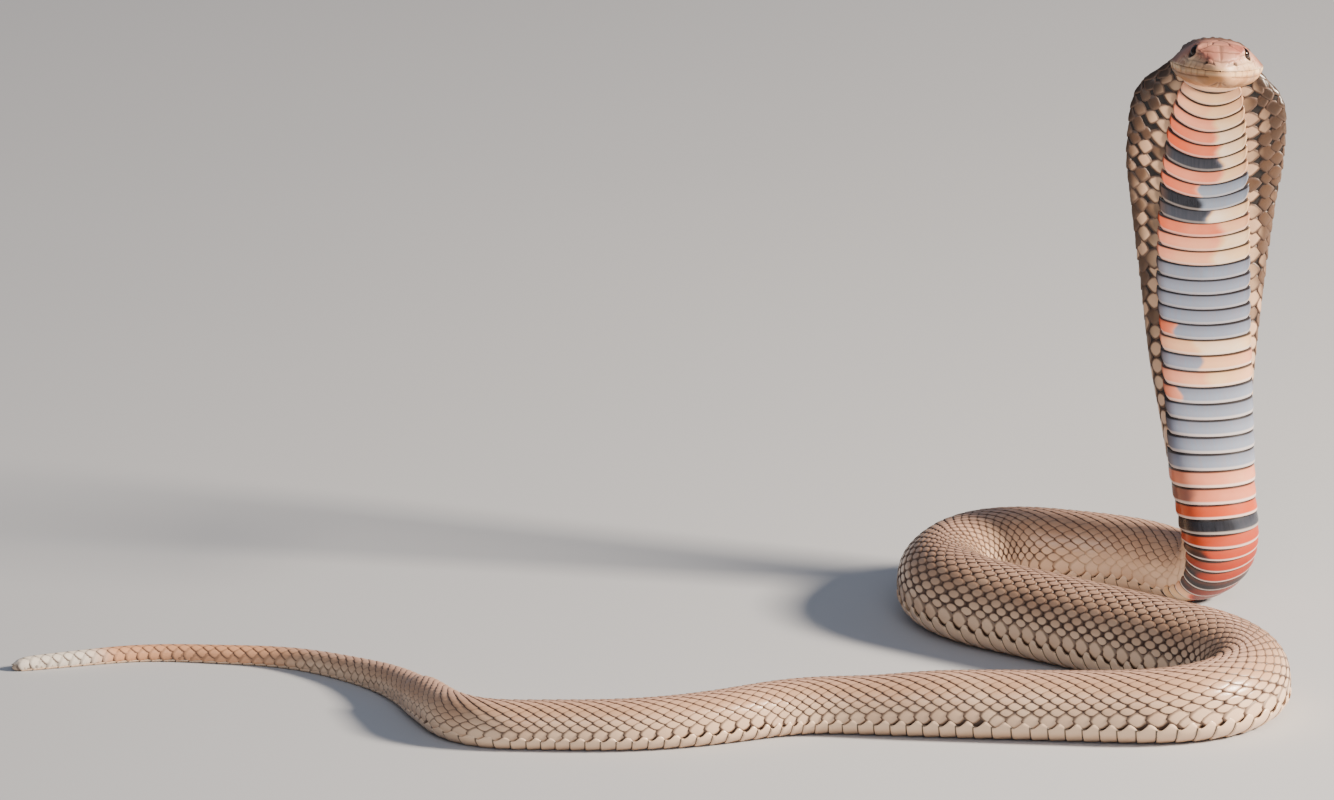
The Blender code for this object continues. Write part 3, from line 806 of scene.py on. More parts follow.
head_right = head_right + normals[..., 0] * raised - np.sign(head_right) * socket
head_up = head_up + normals[..., 2] * raised
head_place = head_s + normals[..., 1] * raised
head_points = place(head_place, head_right, head_up)
lip_seam = np.where(crown, (1 - topness) * (above_lip < 4.0), 1 - underness)
seam_dark = shielded * ridge(seam, 0, 0.28 + 0.10 * lip_seam) * (0.75 - 0.35 * lip_seam)
seam_dark += (1 - shielded) * ease((scale_at - 0.8) / 0.25)
print("sockets and nostrils pressed", round(float(-raised.min()), 2), "mm deep at most")

# %% [markdown]
# ## One skin from tail to snout
# Under the scales lies one unbroken skin. Its rings follow the body just under the solids' surface, which
# leaves room for the scales, and come up to it at the head. Body and head have different numbers of points
# in a ring, so one strip of triangles zips them together behind the jaws, where scales cover it.

# %% Zip two rings of points together
SKIN_DEPTH = 0.8
SKIN_SECTORS = 44
SKIN_RING = 1.9
TAIL_ROUND = 2.4
TIP_RINGS = [0.0, 0.5, 1.2, 2.2]
FULL_COAT_HALF_WIDTH = 8.0
SKIN_RISE_END, SKIN_RISE_OVER = 2.0, 8.0


def coat_share(s):
    """How thick the coat is at place s: 1 on the body, and less on the slim tail."""
    return np.minimum(1.0, smooth(HALF_WIDTH, s) / FULL_COAT_HALF_WIDTH)


def below_head(s):
    """1 on the body and 0 where the neck meets the head."""
    return ease((HEAD_START + SKIN_RISE_END - s) / SKIN_RISE_OVER)




def zip_rings(angles_a, angles_b, first_a, first_b):
    """Triangles between two rings, each a list of rising turns that starts near zero."""
    faces = []
    i = j = 0
    while i < len(angles_a) or j < len(angles_b):
        next_a = angles_a[i + 1] if i + 1 < len(angles_a) else 1.0 + angles_a[0] * (i + 1 == len(angles_a))
        next_b = angles_b[j + 1] if j + 1 < len(angles_b) else 1.0 + angles_b[0] * (j + 1 == len(angles_b))
        a, b = first_a + i % len(angles_a), first_b + j % len(angles_b)
        if j >= len(angles_b) or (i < len(angles_a) and next_a <= next_b):
            faces.append((a, first_a + (i + 1) % len(angles_a), b))
            i += 1
        else:
            faces.append((a, first_b + (j + 1) % len(angles_b), b))
            j += 1
    return faces


# %% Make the skin
even_rings = np.linspace(4.0, HEAD_START - 0.4, int(HEAD_START / SKIN_RING))
body_places = np.concatenate([TIP_RINGS, even_rings])
body_turns = np.arange(SKIN_SECTORS) / SKIN_SECTORS
s_grid = np.broadcast_to(body_places[:, None], (len(body_places), SKIN_SECTORS))
angle_grid = np.broadcast_to(body_turns * 2 * math.pi, s_grid.shape)
depth = SKIN_DEPTH * coat_share(s_grid) * below_head(s_grid)
blunt = np.clip(1 - s_grid / TAIL_ROUND, 0, 1)
depth = depth + smooth(HALF_WIDTH, s_grid) * (1 - np.sqrt(1 - 0.96 * blunt**2))
body_points = skin_point(s_grid, angle_grid, -depth)

start_turn = np.arctan2(head_right[0], head_up[0]) / (2 * math.pi) % 1.0
n_body = body_points.shape[0] * SKIN_SECTORS
n_columns = head_s.shape[1]
faces = net_faces(len(body_places), SKIN_SECTORS, True)
head_faces = net_faces(head_s.shape[0], n_columns, True, n_body)
last_ring = (len(body_places) - 1) * SKIN_SECTORS
body_ring = [(turn, last_ring + k) for k, turn in enumerate(body_turns)]
head_ring = sorted((turn, n_body + k) for k, turn in enumerate(start_turn))
joined = zip_rings([t for t, _ in body_ring], [t for t, _ in head_ring], 0, len(body_ring))
names = [index for _, index in body_ring + head_ring]
seam_faces = [tuple(names[v] for v in face) for face in joined]
tail_pole = body_points[0].mean(axis=0)
snout_pole = place(HEAD_END, 0.0, LIP_HEIGHT[-1][1])
points = np.concatenate([body_points.reshape(-1, 3), head_points.reshape(-1, 3), [tail_pole, snout_pole]])
tail_at, snout_at = len(points) - 2, len(points) - 1
last_head = n_body + (head_s.shape[0] - 1) * n_columns
caps = [(k, (k + 1) % SKIN_SECTORS, tail_at) for k in range(SKIN_SECTORS)]
caps += [(last_head + (k + 1) % n_columns, last_head + k, snout_at) for k in range(n_columns)]
print("skin of", len(points), "points")

# %% [markdown]
# The skin carries a few values at its points, and its finish turns them into colour: how much head it is,
# how dark a seam lies there, how rosy the crown is, how warm the throat, how much ochre and painted shade
# lie under the jaw, and where painted shade fills the eye sockets, nostrils and mouth. On the body it is
# the dark skin that shows between the scales: brown, and nearly black on the hood.

# %% The skin's values and its finish
head_share = along / HEAD_LENGTH
rose = ease((normals[..., 2] - 0.15) / 0.45) * crown * ease((1.08 - head_share) / 0.18)
# How far below the lip a point lies: it sets the throat's warmth and the ochre and painted shade under the
# jaw.
throat = np.where(crown, 0.0, ease((-above_lip - 0.9) / 2.0))
lips = 0.55 * np.exp(-((above_lip / 1.7) ** 2)) * (1 - topness) * ease((head_share - 0.45) / 0.25)
throat = np.maximum(throat, lips)
nape = ease((24.0 - along) / 18.0) * crown
warm = np.where(crown, 0.07, 0.10 + 0.08 * throat)
streaks = np.where(crown, 1 - topness, 1 - underness)
streaks = streaks * ease((0.75 - head_share) / 0.15) * ease((head_share - 0.1) / 0.1)
# Painted shade in the eye sockets and a ring round them, in the nostrils and in the mouth's groove.
hole = beside * (1 - ease((from_eye - 2.2) / 0.5))
hole = hole + nostril * np.exp(-((from_nostril / (NOSTRIL_RADIUS * 1.1)) ** 4))
mouth = ~crown & (above_lip > -0.3) & (head_share > MOUTH_CORNER + 0.02)


def with_body(head_values):
    """The head's values after zeros for the body, and then the two poles'."""
    return np.concatenate([np.zeros(n_body), np.asarray(head_values, float).ravel(), (0.0, 1.0)])


skin_values = {
    "head": with_body(ease((along + 0.5) / 3.0)),
    "seam": with_body(np.clip(seam_dark, 0, 1)),
    "rose": with_body(rose),
    "warm": with_body(warm),
    "throat": with_body(throat),
    "streak": with_body(streaks),
    "hole": with_body(np.clip(hole + mouth, 0, 1)),
    "nape": with_body(nape),
    "along": np.concatenate([s_grid.ravel(), head_place.ravel(), [0.0, HEAD_END]]),
}

print("the head carries", len(skin_values), "values")

# %% The skin's finish
skin_finish, start, shader = finish_of("cobra_skin", 0.42, 0.45)
skin_along = value_of(start, "along")
between = skin_along.step(900.0, 960.0).blend(SKIN_AND_SHADE_BROWN, SKIN_AND_SHADE_BLACK)
between = (1 - skin_along.step(14.0, 50.0)).blend(between, TAIL_SKIN)
patches = noise(start, PER_METRE["head patches"], 3.0)
cream = (value_of(start, "warm") + (patches - 0.5) * 0.12)
throat_colour = cream.node("ShaderNodeValToRGB", {"stops": WARM_RAMP}, {"Fac": cream})
# Ochre under the lower jaw, stronger further down: partly the chin's own colour, partly painted shade under
# the jaw.
ochre_and_shade = value_of(start, "throat") * (0.85 + (patches - 0.5) * 1.9)
throat_colour = ochre_and_shade.blend(throat_colour, CHIN_OCHRE_AND_SHADE)
lines = noise(start, PER_METRE["cheek lines"], 2.0)
streaked = (value_of(start, "streak") * lines.step(0.45, 0.60) * 0.75).blend(throat_colour, CHEEK_STREAK)
rosy = (value_of(start, "rose") * (0.9 + (patches - 0.5) * 0.6)).blend(streaked, CROWN_ROSE)
browned = (value_of(start, "nape") * (1.0 + (patches - 0.5) * 0.6)).blend(rosy, NAPE_BROWN)
seamed = (value_of(start, "seam") * 0.85).blend(browned, SCALE_EDGE)
# Painted shade: sockets, nostrils and mouth go black.
hole_shaded = value_of(start, "hole").blend(seamed, SKIN_AND_SHADE_BLACK)
connect(value_of(start, "head").blend(between, hole_shaded), shader, "Base Color")
bumped(start, noise(start, PER_METRE["skin grain"], 2.0), GRAIN_DEPTH["skin grain"], shader)
print("finish ready:", skin_finish.name)

# %% The skin's flat map
HEAD_PATCH_LOW, HEAD_PATCH_SIZE = (0.02, 0.765), (0.55, 0.225)
SPARE_UP = 0.9
strip_of_ring = strip_at(body_places)
i, j = np.meshgrid(np.arange(len(body_places) - 1), np.arange(SKIN_SECTORS), indexing="ij")
flat = [unwrapped(body_places[i + di], (j + dj) / SKIN_SECTORS, strip_of_ring[i]) for di, dj in CORNERS]
body_flat = np.stack(flat, axis=2).reshape(-1, 2)


def head_flat(row, column):
    """The head's own patch of the map, in the last strip."""
    shares = np.stack([row / head_s.shape[0], column / n_columns], axis=-1)
    return HEAD_PATCH_LOW + shares * HEAD_PATCH_SIZE


def spare_patch(across, many):
    """One tiny triangle of the map for each of many small faces."""
    corners = [[across, SPARE_UP], [across + PATCH, SPARE_UP], [across, SPARE_UP + PATCH]]
    return np.tile(corners, (many, 1))


i, j = np.meshgrid(np.arange(head_s.shape[0] - 1), np.arange(n_columns), indexing="ij")
head_map = np.stack([head_flat(i + di, j + dj) for di, dj in CORNERS], axis=2).reshape(-1, 2)
spares = [spare_patch(0.9, len(seam_faces)), spare_patch(0.93, SKIN_SECTORS), spare_patch(0.96, n_columns)]
all_faces = faces.tolist() + head_faces.tolist() + seam_faces + caps
all_flat = np.concatenate([body_flat, head_map, *spares])
skin = mesh_piece("cobra_skin", points, all_faces, skin_values, all_flat, skin_finish)

# %% [markdown]
# ## Back scales
# Each scale is a small domed tile with a rounded lozenge outline. Its rear tip stands a little proud, and
# its skirt is sunk in the skin. Where the skin is slack the tiles touch and the seams are thin lines. Where
# it is stretched, on a bend, they stand apart as ovals on dark skin, and on the hood they are leaves that
# lean outwards. One tile could be copied thousands of times as an object, but joined arrays are lighter: a
# tile is worked out as rings round a centre, and then all of them are laid at once, in step with the rows.

# %% Tables of the tiles
FIRST_SCUTE, LAST_SCUTE = 866.7, 1080.0
SCUTE_PITCH = [
    (858, 3.1), (888, 3.1), (894, 5.0), (900, 5.6), (905, 6.7), (945, 6.6), (985, 5.9), (1010, 5.8),
    (1030, 5.4), (1064, 5.3), (1090, 5.3),
]
ROW_PITCH = [
    (0, 4.4), (98, 4.9), (140, 4.5), (187, 4.7), (197, 5.0), (230, 5.3), (290, 5.6), (340, 5.9), (400, 6.2),
    (470, 6.5), (600, 6.6), (750, 6.4), (845, 6.1), (905, 6.4), (945, 6.5), (985, 5.9), (1010, 5.8),
    (1030, 5.5), (1064, 5.2), (1080, 4.2), (1090, 3.9),
]
SLACK = [
    (0, 0.3), (150, 0.15), (187, 0.0), (360, 0.0), (470, 0.25), (560, 0.6), (620, 1.0), (740, 1.0),
    (790, 0.45), (830, 0.1), (895, 0.4), (915, 0.9), (950, 1.0), (1090, 0.8),
]
TIGHT = {"length": 0.61, "width": 1.02, "power": 1.42, "base": 0.26, "tip": 0.34}
LOOSE = {"length": 0.475, "width": 0.73, "power": 1.9, "base": 0.12, "tip": 0.16}
LEAF = {"length": 0.60, "width": 0.84, "power": 1.55, "base": 0.14, "tip": 0.34}
LEAF_POINT = 0.30
LAST_ROW = {"shift": 0.5, "width": 1.55, "length": 1.06}
HOOD_SHRINK = [(0, 1.0), (930, 1.0), (985, 0.97), (1040, 0.95), (1090, 0.95)]
TILE_HEIGHT = 0.44
TILE_SECTORS = 12
TILE_RINGS = [0.5, 0.8, 0.93, 1.0, 1.05]
TILE_PROFILE = [0.97, 0.82, 0.58, 0.12, -0.7]
TILE_CUTS = [0.0, 490.0, 690.0, 905.0, 1100.0]
MOST_ROWS = 13
FIRST_ROW, FITTED_FROM, TURNS_UP = 2.2, 790.0, 898.0
FITTED_OVER = 90.0
HOOD_FROM, HOOD_TO = 940.0, 1000.0
HOOD_JITTER = {"along": 0.32, "row": 0.07, "lean": 0.13, "size": 0.07}
BODY_JITTER = {"along": 0.05, "size": 0.03}
LEAN = [(0, 0.0), (960, 0.0), (1010, 0.12), (1050, 0.4), (1075, 0.45), (1090, 0.2)]
LOW_SLACK, LAST_ROW_SLACK = 0.4, 0.15
NAPE_LAP, NAPE_LAP_HEIGHT = 3.4, 0.66
print("tiles of", TILE_SECTORS, "corners and", len(TILE_RINGS), "rings, over", SKIN_DEPTH, "mm of depth")

# %% Places of the rows
raised_rows = stations(SCUTE_PITCH, FIRST_SCUTE, HEAD_START + 3.0)
raised_rows = raised_rows[raised_rows > TURNS_UP]
last_lying = raised_rows[0] - float(smooth(SCUTE_PITCH, TURNS_UP))
lying_rows = stations(ROW_PITCH, FIRST_ROW, TURNS_UP)
misfit = last_lying - lying_rows[np.argmin(np.abs(lying_rows - last_lying))]
lying_rows = lying_rows + misfit * ease((lying_rows - FITTED_FROM) / FITTED_OVER)
lying_rows = lying_rows[lying_rows < last_lying + 0.1]
row_places = np.concatenate([lying_rows, raised_rows])
rows, places_at = np.meshgrid(np.arange(-MOST_ROWS, MOST_ROWS + 1), row_places, indexing="ij")
rows, places_at = rows.ravel().astype(float), places_at.ravel()
pitch = smooth(ROW_PITCH, places_at)
places_at = places_at + 0.5 * pitch * (np.abs(rows) % 2)
most = np.maximum(smooth(ROWS_A_SIDE, places_at - pitch), smooth(ROWS_A_SIDE, places_at + pitch))
kept = (np.abs(rows) <= most + ROW_ROOM) & (places_at < HEAD_START + NAPE_LAP)
reach_more = smooth(RIGHT_REACH_MORE_DEG, places_at)
covered_from = math.pi - plate_reach(places_at) - np.radians(reach_more)
tile_turn = flank_angle(places_at, np.clip(row_share(places_at, rows), -MOST_SHARE, MOST_SHARE))
kept &= (reach_more < 1.0) | (tile_turn < covered_from + 0.04)
rows, places_at, pitch = rows[kept], places_at[kept], pitch[kept]
print(len(rows), "scales on the back and flanks")

# %% Small differences from tile to tile
rng = np.random.default_rng(11)
on_hood = ease((places_at - HOOD_FROM) / (HOOD_TO - HOOD_FROM))
places_at = places_at + rng.normal(0, 1, len(rows)) * (BODY_JITTER["along"] + HOOD_JITTER["along"] * on_hood)
row_jitter = rng.normal(0, 1, len(rows)) * HOOD_JITTER["row"] * on_hood
lean = smooth(LEAN, places_at) * np.sign(rows) + rng.normal(0, 1, len(rows)) * HOOD_JITTER["lean"] * on_hood
size = 1.0 + rng.normal(0, 1, len(rows)) * (BODY_JITTER["size"] + HOOD_JITTER["size"] * on_hood)
size = size * smooth(HOOD_SHRINK, places_at)
tone = rng.uniform(-1, 1, len(rows))
low_down = ease((np.abs(row_share(places_at, rows)) - 0.5) / 0.3) * ease((places_at - 150.0) / 60.0)
slackness = np.clip(smooth(SLACK, places_at) + LOW_SLACK * low_down, 0, 1)
last_row = np.abs(rows) > np.floor(smooth(ROWS_A_SIDE, places_at) + ROW_ROOM) - 0.5
slackness = slackness * np.where(last_row & (places_at < HOOD_FROM), LAST_ROW_SLACK, 1.0)
print("slackness of the skin:", [round(float(v), 2) for v in (slackness.min(), slackness.max())])


# %% Shape every tile at once
def per_tile(amounts):
    """One amount for each tile or plate, ready to spread over its net."""
    return np.asarray(amounts)[:, None, None]


def between_zones(key):
    """A tile's measure where the skin is tight, loose or in between, and on the hood."""
    slack, hood = per_tile(slackness), per_tile(on_hood)
    return (TIGHT[key] * (1 - slack) + LOOSE[key] * slack) * (1 - hood) + LEAF[key] * hood


circle = np.arange(TILE_SECTORS) * 2 * math.pi / TILE_SECTORS
rings = np.array(TILE_RINGS)[None, :, None]
power = 2.0 / between_zones("power")
ahead = np.sign(np.cos(circle)) * np.abs(np.cos(circle)) ** power
across = np.sign(np.sin(circle)) * np.abs(np.sin(circle)) ** power
across = across * (1 - LEAF_POINT * per_tile(on_hood) * np.clip(-np.cos(circle), 0, 1))
length = between_zones("length") * per_tile(pitch * size * np.where(last_row, LAST_ROW["length"], 1))
width = between_zones("width") * per_tile(size * np.where(last_row, LAST_ROW["width"], 1))
middle_row = rows + last_row * LAST_ROW["shift"] * np.sign(rows) + row_jitter
tile_s = per_tile(places_at) + length * (ahead - per_tile(lean) * across) * rings
tile_row = per_tile(middle_row) + width * across * rings
profile = np.array(TILE_PROFILE)[None, :, None]
tile_size = per_tile(coat_share(places_at))
tip = -ahead * np.minimum(rings, 1.0) * between_zones("tip")
base = between_zones("base")
up_to_head = per_tile(NAPE_LAP_HEIGHT * (1 - below_head(places_at)))
tile_lift = tile_size * (-SKIN_DEPTH + base + TILE_HEIGHT * profile + tip) + up_to_head
# The shade side of each tile, its rear and lower rim, which the finish darkens as painted shade.
lee = np.clip(-0.72 * np.cos(circle) + 0.7 * np.sign(rows)[:, None] * np.sin(circle), 0, 1)[:, None, :]
lee = lee * np.clip(rings / 0.93, 0, 1) ** 3


def with_centre(at_centre, round_it):
    """Each tile's value at its centre, and then its values round it, in one row a tile."""
    return np.concatenate([np.reshape(at_centre, (len(rows), 1)), round_it.reshape(len(rows), -1)], axis=1)


tile_s = with_centre(places_at, tile_s)
tile_row = with_centre(middle_row, tile_row)
tile_lift = with_centre(tile_size * (-SKIN_DEPTH + base + TILE_HEIGHT) + up_to_head, tile_lift)
tile_rim = np.concatenate([[0.0], np.repeat(TILE_RINGS, TILE_SECTORS)])
tile_shade_side = with_centre(np.zeros(len(rows)), lee)
tile_share = np.clip(row_share(tile_s, tile_row), -MOST_SHARE, MOST_SHARE)
tile_angle = flank_angle(tile_s, tile_share)
tile_points = skin_point(tile_s, tile_angle, tile_lift)
print("points of the tiles:", tile_points.shape)

# %% [markdown]
# The finish of a scale: paler in its middle than at its rim, where it goes dark brown, and darker still along
# its rear and lower rim as painted shade. The tail is orange-tan with a cream tip, the flanks of the body are
# palest low down, and the hood's scales are peach beside the plates and brown further out, with painted shade
# turning the hood's shoulders behind the head near black. Every scale also has a tone of its own, so that no
# two neighbours match. Scales are smooth horn, so the finish is satin, with the faintest grain.

# %% The scales' finish
scale_finish, start, shader = finish_of("back_scales", 0.36, 0.5)
along_body = value_of(start, "along")
own_tone = value_of(start, "tone")
flank = value_of(start, "flank")
rim = value_of(start, "rim")
mottle = noise(start, PER_METRE["mottle"], 3.0)
paleness = flank.step(0.35, 0.95) * 0.75 + (mottle - 0.5) * 0.9 + own_tone * 0.14
body_colour = paleness.blend(SCALE_TAN, SCALE_PALE)
body_colour = ((1 - flank.step(0.0, 0.45)) * 0.55).blend(body_colour, SCALE_ROSE)
tail_colour = (1 - along_body.step(27.0, 42.0)).blend(TAIL_ORANGE, TAIL_CREAM)
tailed = along_body.step(88.0, 125.0).blend(tail_colour, body_colour)
peach = (own_tone * 0.35 + mottle * 0.9).blend(SCALE_TAN, SCALE_PEACH)
outer = (1 - flank.step(0.68, 1.0)) * 0.9 + own_tone * 0.5 + (mottle - 0.5) * 1.2
outer = outer + value_of(start, "left") * 0.28
browned = outer.step(0.1, 0.75).blend(peach, HOOD_BROWN)
# Painted shade: the hood's shoulders behind the head go near black.
shoulder_shade = along_body.step(1035.0, 1068.0) * (1 - along_body.step(1072.0, 1088.0))
shoulder_shade = shoulder_shade * (1 - flank.step(0.78, 0.98)) * (0.45 + mottle * 0.7)
browned = shoulder_shade.blend(browned, SHOULDER_SHADE)
hooded = along_body.step(905.0, 985.0).blend(tailed, browned)
on_tail = 1 - along_body.step(100.0, 190.0)
edge = (rim + on_tail * 0.12).step(0.62, 0.90)
stretched = along_body.step(800.0, 835.0) * (1 - along_body.step(895.0, 915.0)) * flank.step(0.6, 0.8)
low = flank.step(0.6, 0.85) * 0.3
dark_rim = edge * (0.38 + value_of(start, "slack") * 0.45 + low) * (1 - on_tail * 0.35)
dark_rim = dark_rim.higher(along_body.step(930.0, 990.0) * rim.step(0.72, 0.95))
# Painted shade along the rear and lower rim of each scale.
dark_shade_side = value_of(start, "lee").step(0.25, 0.65) * (rim + on_tail * 0.1).step(0.60, 0.82)
edged = dark_rim.higher(dark_shade_side * (1 - on_tail * 0.1) * 0.95) * (1 - stretched * 0.85)
connect(edged.blend(hooded, SCALE_EDGE), shader, "Base Color")
connect(0.29 + edge * 0.2, shader, "Roughness")
bumped(start, noise(start, PER_METRE["scale grain"], 2.0), GRAIN_DEPTH["scale grain"], shader)
print("finish ready:", scale_finish.name)

# %% Join the tiles to pieces of the coat
fan = [(0, 1 + k, 1 + (k + 1) % TILE_SECTORS, 1 + (k + 2) % TILE_SECTORS) for k in range(0, TILE_SECTORS, 2)]
bands = net_faces(len(TILE_RINGS), TILE_SECTORS, True, 1)[:, [0, 3, 2, 1]]
TILE_FACES = np.concatenate([fan, bands])
PER_TILE = 1 + TILE_SECTORS * len(TILE_RINGS)
patch = np.stack([np.cos(circle)[None] * rings[0], np.sin(circle)[None] * rings[0]], axis=-1).reshape(-1, 2)
patch = np.concatenate([[[0.0, 0.0]], patch]) * PATCH / 2
coat = []
for first, last in zip(TILE_CUTS, TILE_CUTS[1:]):
    chosen = np.flatnonzero((places_at >= first) & (places_at < last))
    many = len(chosen)
    faces = (TILE_FACES[None] + (np.arange(many) * PER_TILE)[:, None, None]).reshape(-1, 4)
    strip = strip_at(places_at[chosen])
    turn = flank_angle(places_at[chosen], row_share(places_at[chosen], rows[chosen])) / (2 * math.pi) % 1.0
    root = unwrapped(places_at[chosen], turn, strip)
    corner_map = root[:, None, :] + patch[None]
    values = {
        "rim": np.broadcast_to(tile_rim, (many, PER_TILE)),
        "tone": np.repeat(tone[chosen], PER_TILE),
        "lee": tile_shade_side[chosen],
        "slack": np.repeat(slackness[chosen], PER_TILE),
        "flank": np.abs(tile_share[chosen]),
        "left": np.repeat(rows[chosen] < 0, PER_TILE).astype(float),
        "along": tile_s[chosen],
    }
    flat = corner_map.reshape(-1, 2)[faces.ravel()]
    laid = tile_points[chosen].reshape(-1, 3)
    coat.append(mesh_piece(f"back_scales_{int(first)}", laid, faces.tolist(), values, flat, scale_finish))

# %% [markdown]
# ## Belly plates
# Under the body each scale row ends at one broad plate that wraps round the belly from flank to flank. Its
# rear edge is free and laps over the plate behind. On the lying body only the plates' rounded ends show, in
# a row along the ground. On the raised neck they face the camera full width, glossy and banded. Each has a
# pale rim that is partly its own colour and partly a painted highlight, a dark line under it that is partly
# dark skin and partly painted shade, and a forward part darkened as painted shade of the plate ahead. Under
# the tail they are small and paired.

# %% A plate's profile, laid at many stations at once
SCUTE_SAG = [(858, 0.8), (905, 1.6), (982, 2.8), (1010, 3.6), (1032, 5.4), (1064, 6.2), (1090, 5.0)]
SCUTE_TILT = [
    (858, -0.2), (882, -0.1), (894, 0.05), (904, 0.10), (930, 0.10), (954, 0.06), (1004, 0.0), (1090, 0.0),
]
VENT = 191.0
LEAST_PITCH = 2.6
SMOOTHINGS = 3
PLATE_END, PLATE_DROP = 0.84, 0.93
PLATE_RUN = np.array([-0.01, -0.04, -0.03, 0.0, 0.04, 0.10, 0.20, 0.36, 0.54, 0.72, 0.86, 0.95, 1.06, 1.12])
PLATE_RISE = np.array([-0.30, 0.16, 0.46, 0.63, 0.70, 0.72, 0.69, 0.58, 0.46, 0.33, 0.22, 0.14, 0.0, -0.45])


def lay_plates(edges, pitches, sag, tilt, corner, arch, across, lifted):
    """Points of all the plates, and how far each point is along and across its plate."""
    run = PLATE_RUN[None, :, None]
    edges, pitches = edges[:, None, None], pitches[:, None, None]
    end = np.clip((np.abs(across) - PLATE_END) / (1 - PLATE_END), 0, 1)[None, None, :]
    c = across[None, None, :]
    reach = plate_reach(edges) * (1 - arch * np.clip((run - 0.5) / 0.5, -1, 1) ** 2 * end)
    reach = reach + np.where(c < 0, np.radians(smooth(RIGHT_REACH_MORE_DEG, edges)), 0.0)
    angle = math.pi + c * reach
    s = edges + run * pitches - per_tile(sag) * (1 - c**2)
    s = s + corner * pitches * end**2 * (1 - np.clip(run, 0, 1))
    s = s + per_tile(tilt) * smooth(HALF_WIDTH, edges) * np.sin(angle)
    rise = PLATE_RISE[None, :, None] * lifted
    drop = np.clip((np.abs(across) - PLATE_DROP) / (1 - PLATE_DROP), 0, 1)[None, None, :] ** 2
    lift = rise - drop * (rise + SKIN_DEPTH + 0.1)
    size = coat_share(edges)
    points = skin_point(s, np.broadcast_to(angle, s.shape), lift * size)
    return points, s, *(np.broadcast_to(kind, s.shape) for kind in (angle, run, c))


def plate_piece(name, laid, more, finish):
    """One joined mesh of plates, each with its whole place on the unwrap."""
    points, s, angle, run, across = laid
    many, rows_in, columns = s.shape
    one = net_faces(rows_in, columns, False)
    faces = (one[None] + (np.arange(many) * rows_in * columns)[:, None, None]).reshape(-1, 4)
    strip = per_tile(strip_at(s[:, 0, columns // 2]))
    shown = s[:, :1] + np.clip(run, -0.02, 1.0) * (s[:, -1:] - s[:, :1]) / 1.14
    flat = unwrapped(shown, angle / (2 * math.pi), np.broadcast_to(strip, s.shape)).reshape(-1, 2)
    values = {"run": run, "across": across, "along": s, **more}
    return mesh_piece(name, points.reshape(-1, 3), faces.tolist(), values, flat[faces.ravel()], finish)


raised_edges = stations(SCUTE_PITCH, FIRST_SCUTE, LAST_SCUTE)
lowest_row = np.floor(smooth(ROWS_A_SIDE, lying_rows) + ROW_ROOM)
valleys = lying_rows + 0.5 * smooth(ROW_PITCH, lying_rows) * (lowest_row % 2)
valleys = valleys[np.concatenate([[True], np.diff(valleys) > LEAST_PITCH])]
for _ in range(SMOOTHINGS):
    valleys[1:-1] = (valleys[:-2] + 2 * valleys[1:-1] + valleys[2:]) / 4
lying_edges = valleys[(valleys >= VENT) & (valleys < FIRST_SCUTE - 3.0)]
tail_edges = valleys[valleys < VENT]
print(len(raised_edges), "raised plates,", len(lying_edges), "lying,", len(tail_edges), "pairs under the tail")

# %% [markdown]
# ### The bands of the raised neck
# The plates differ one from the next: from the deep red of the base up through orange, slate, salmon, a run
# of slate, peach, a broken black collar and the cream and orange throat. Each row of this list is one
# plate, from the ground up: how warm, how slate and how black it is on its own right side (the camera's
# left) and on its left side, and where it changes.

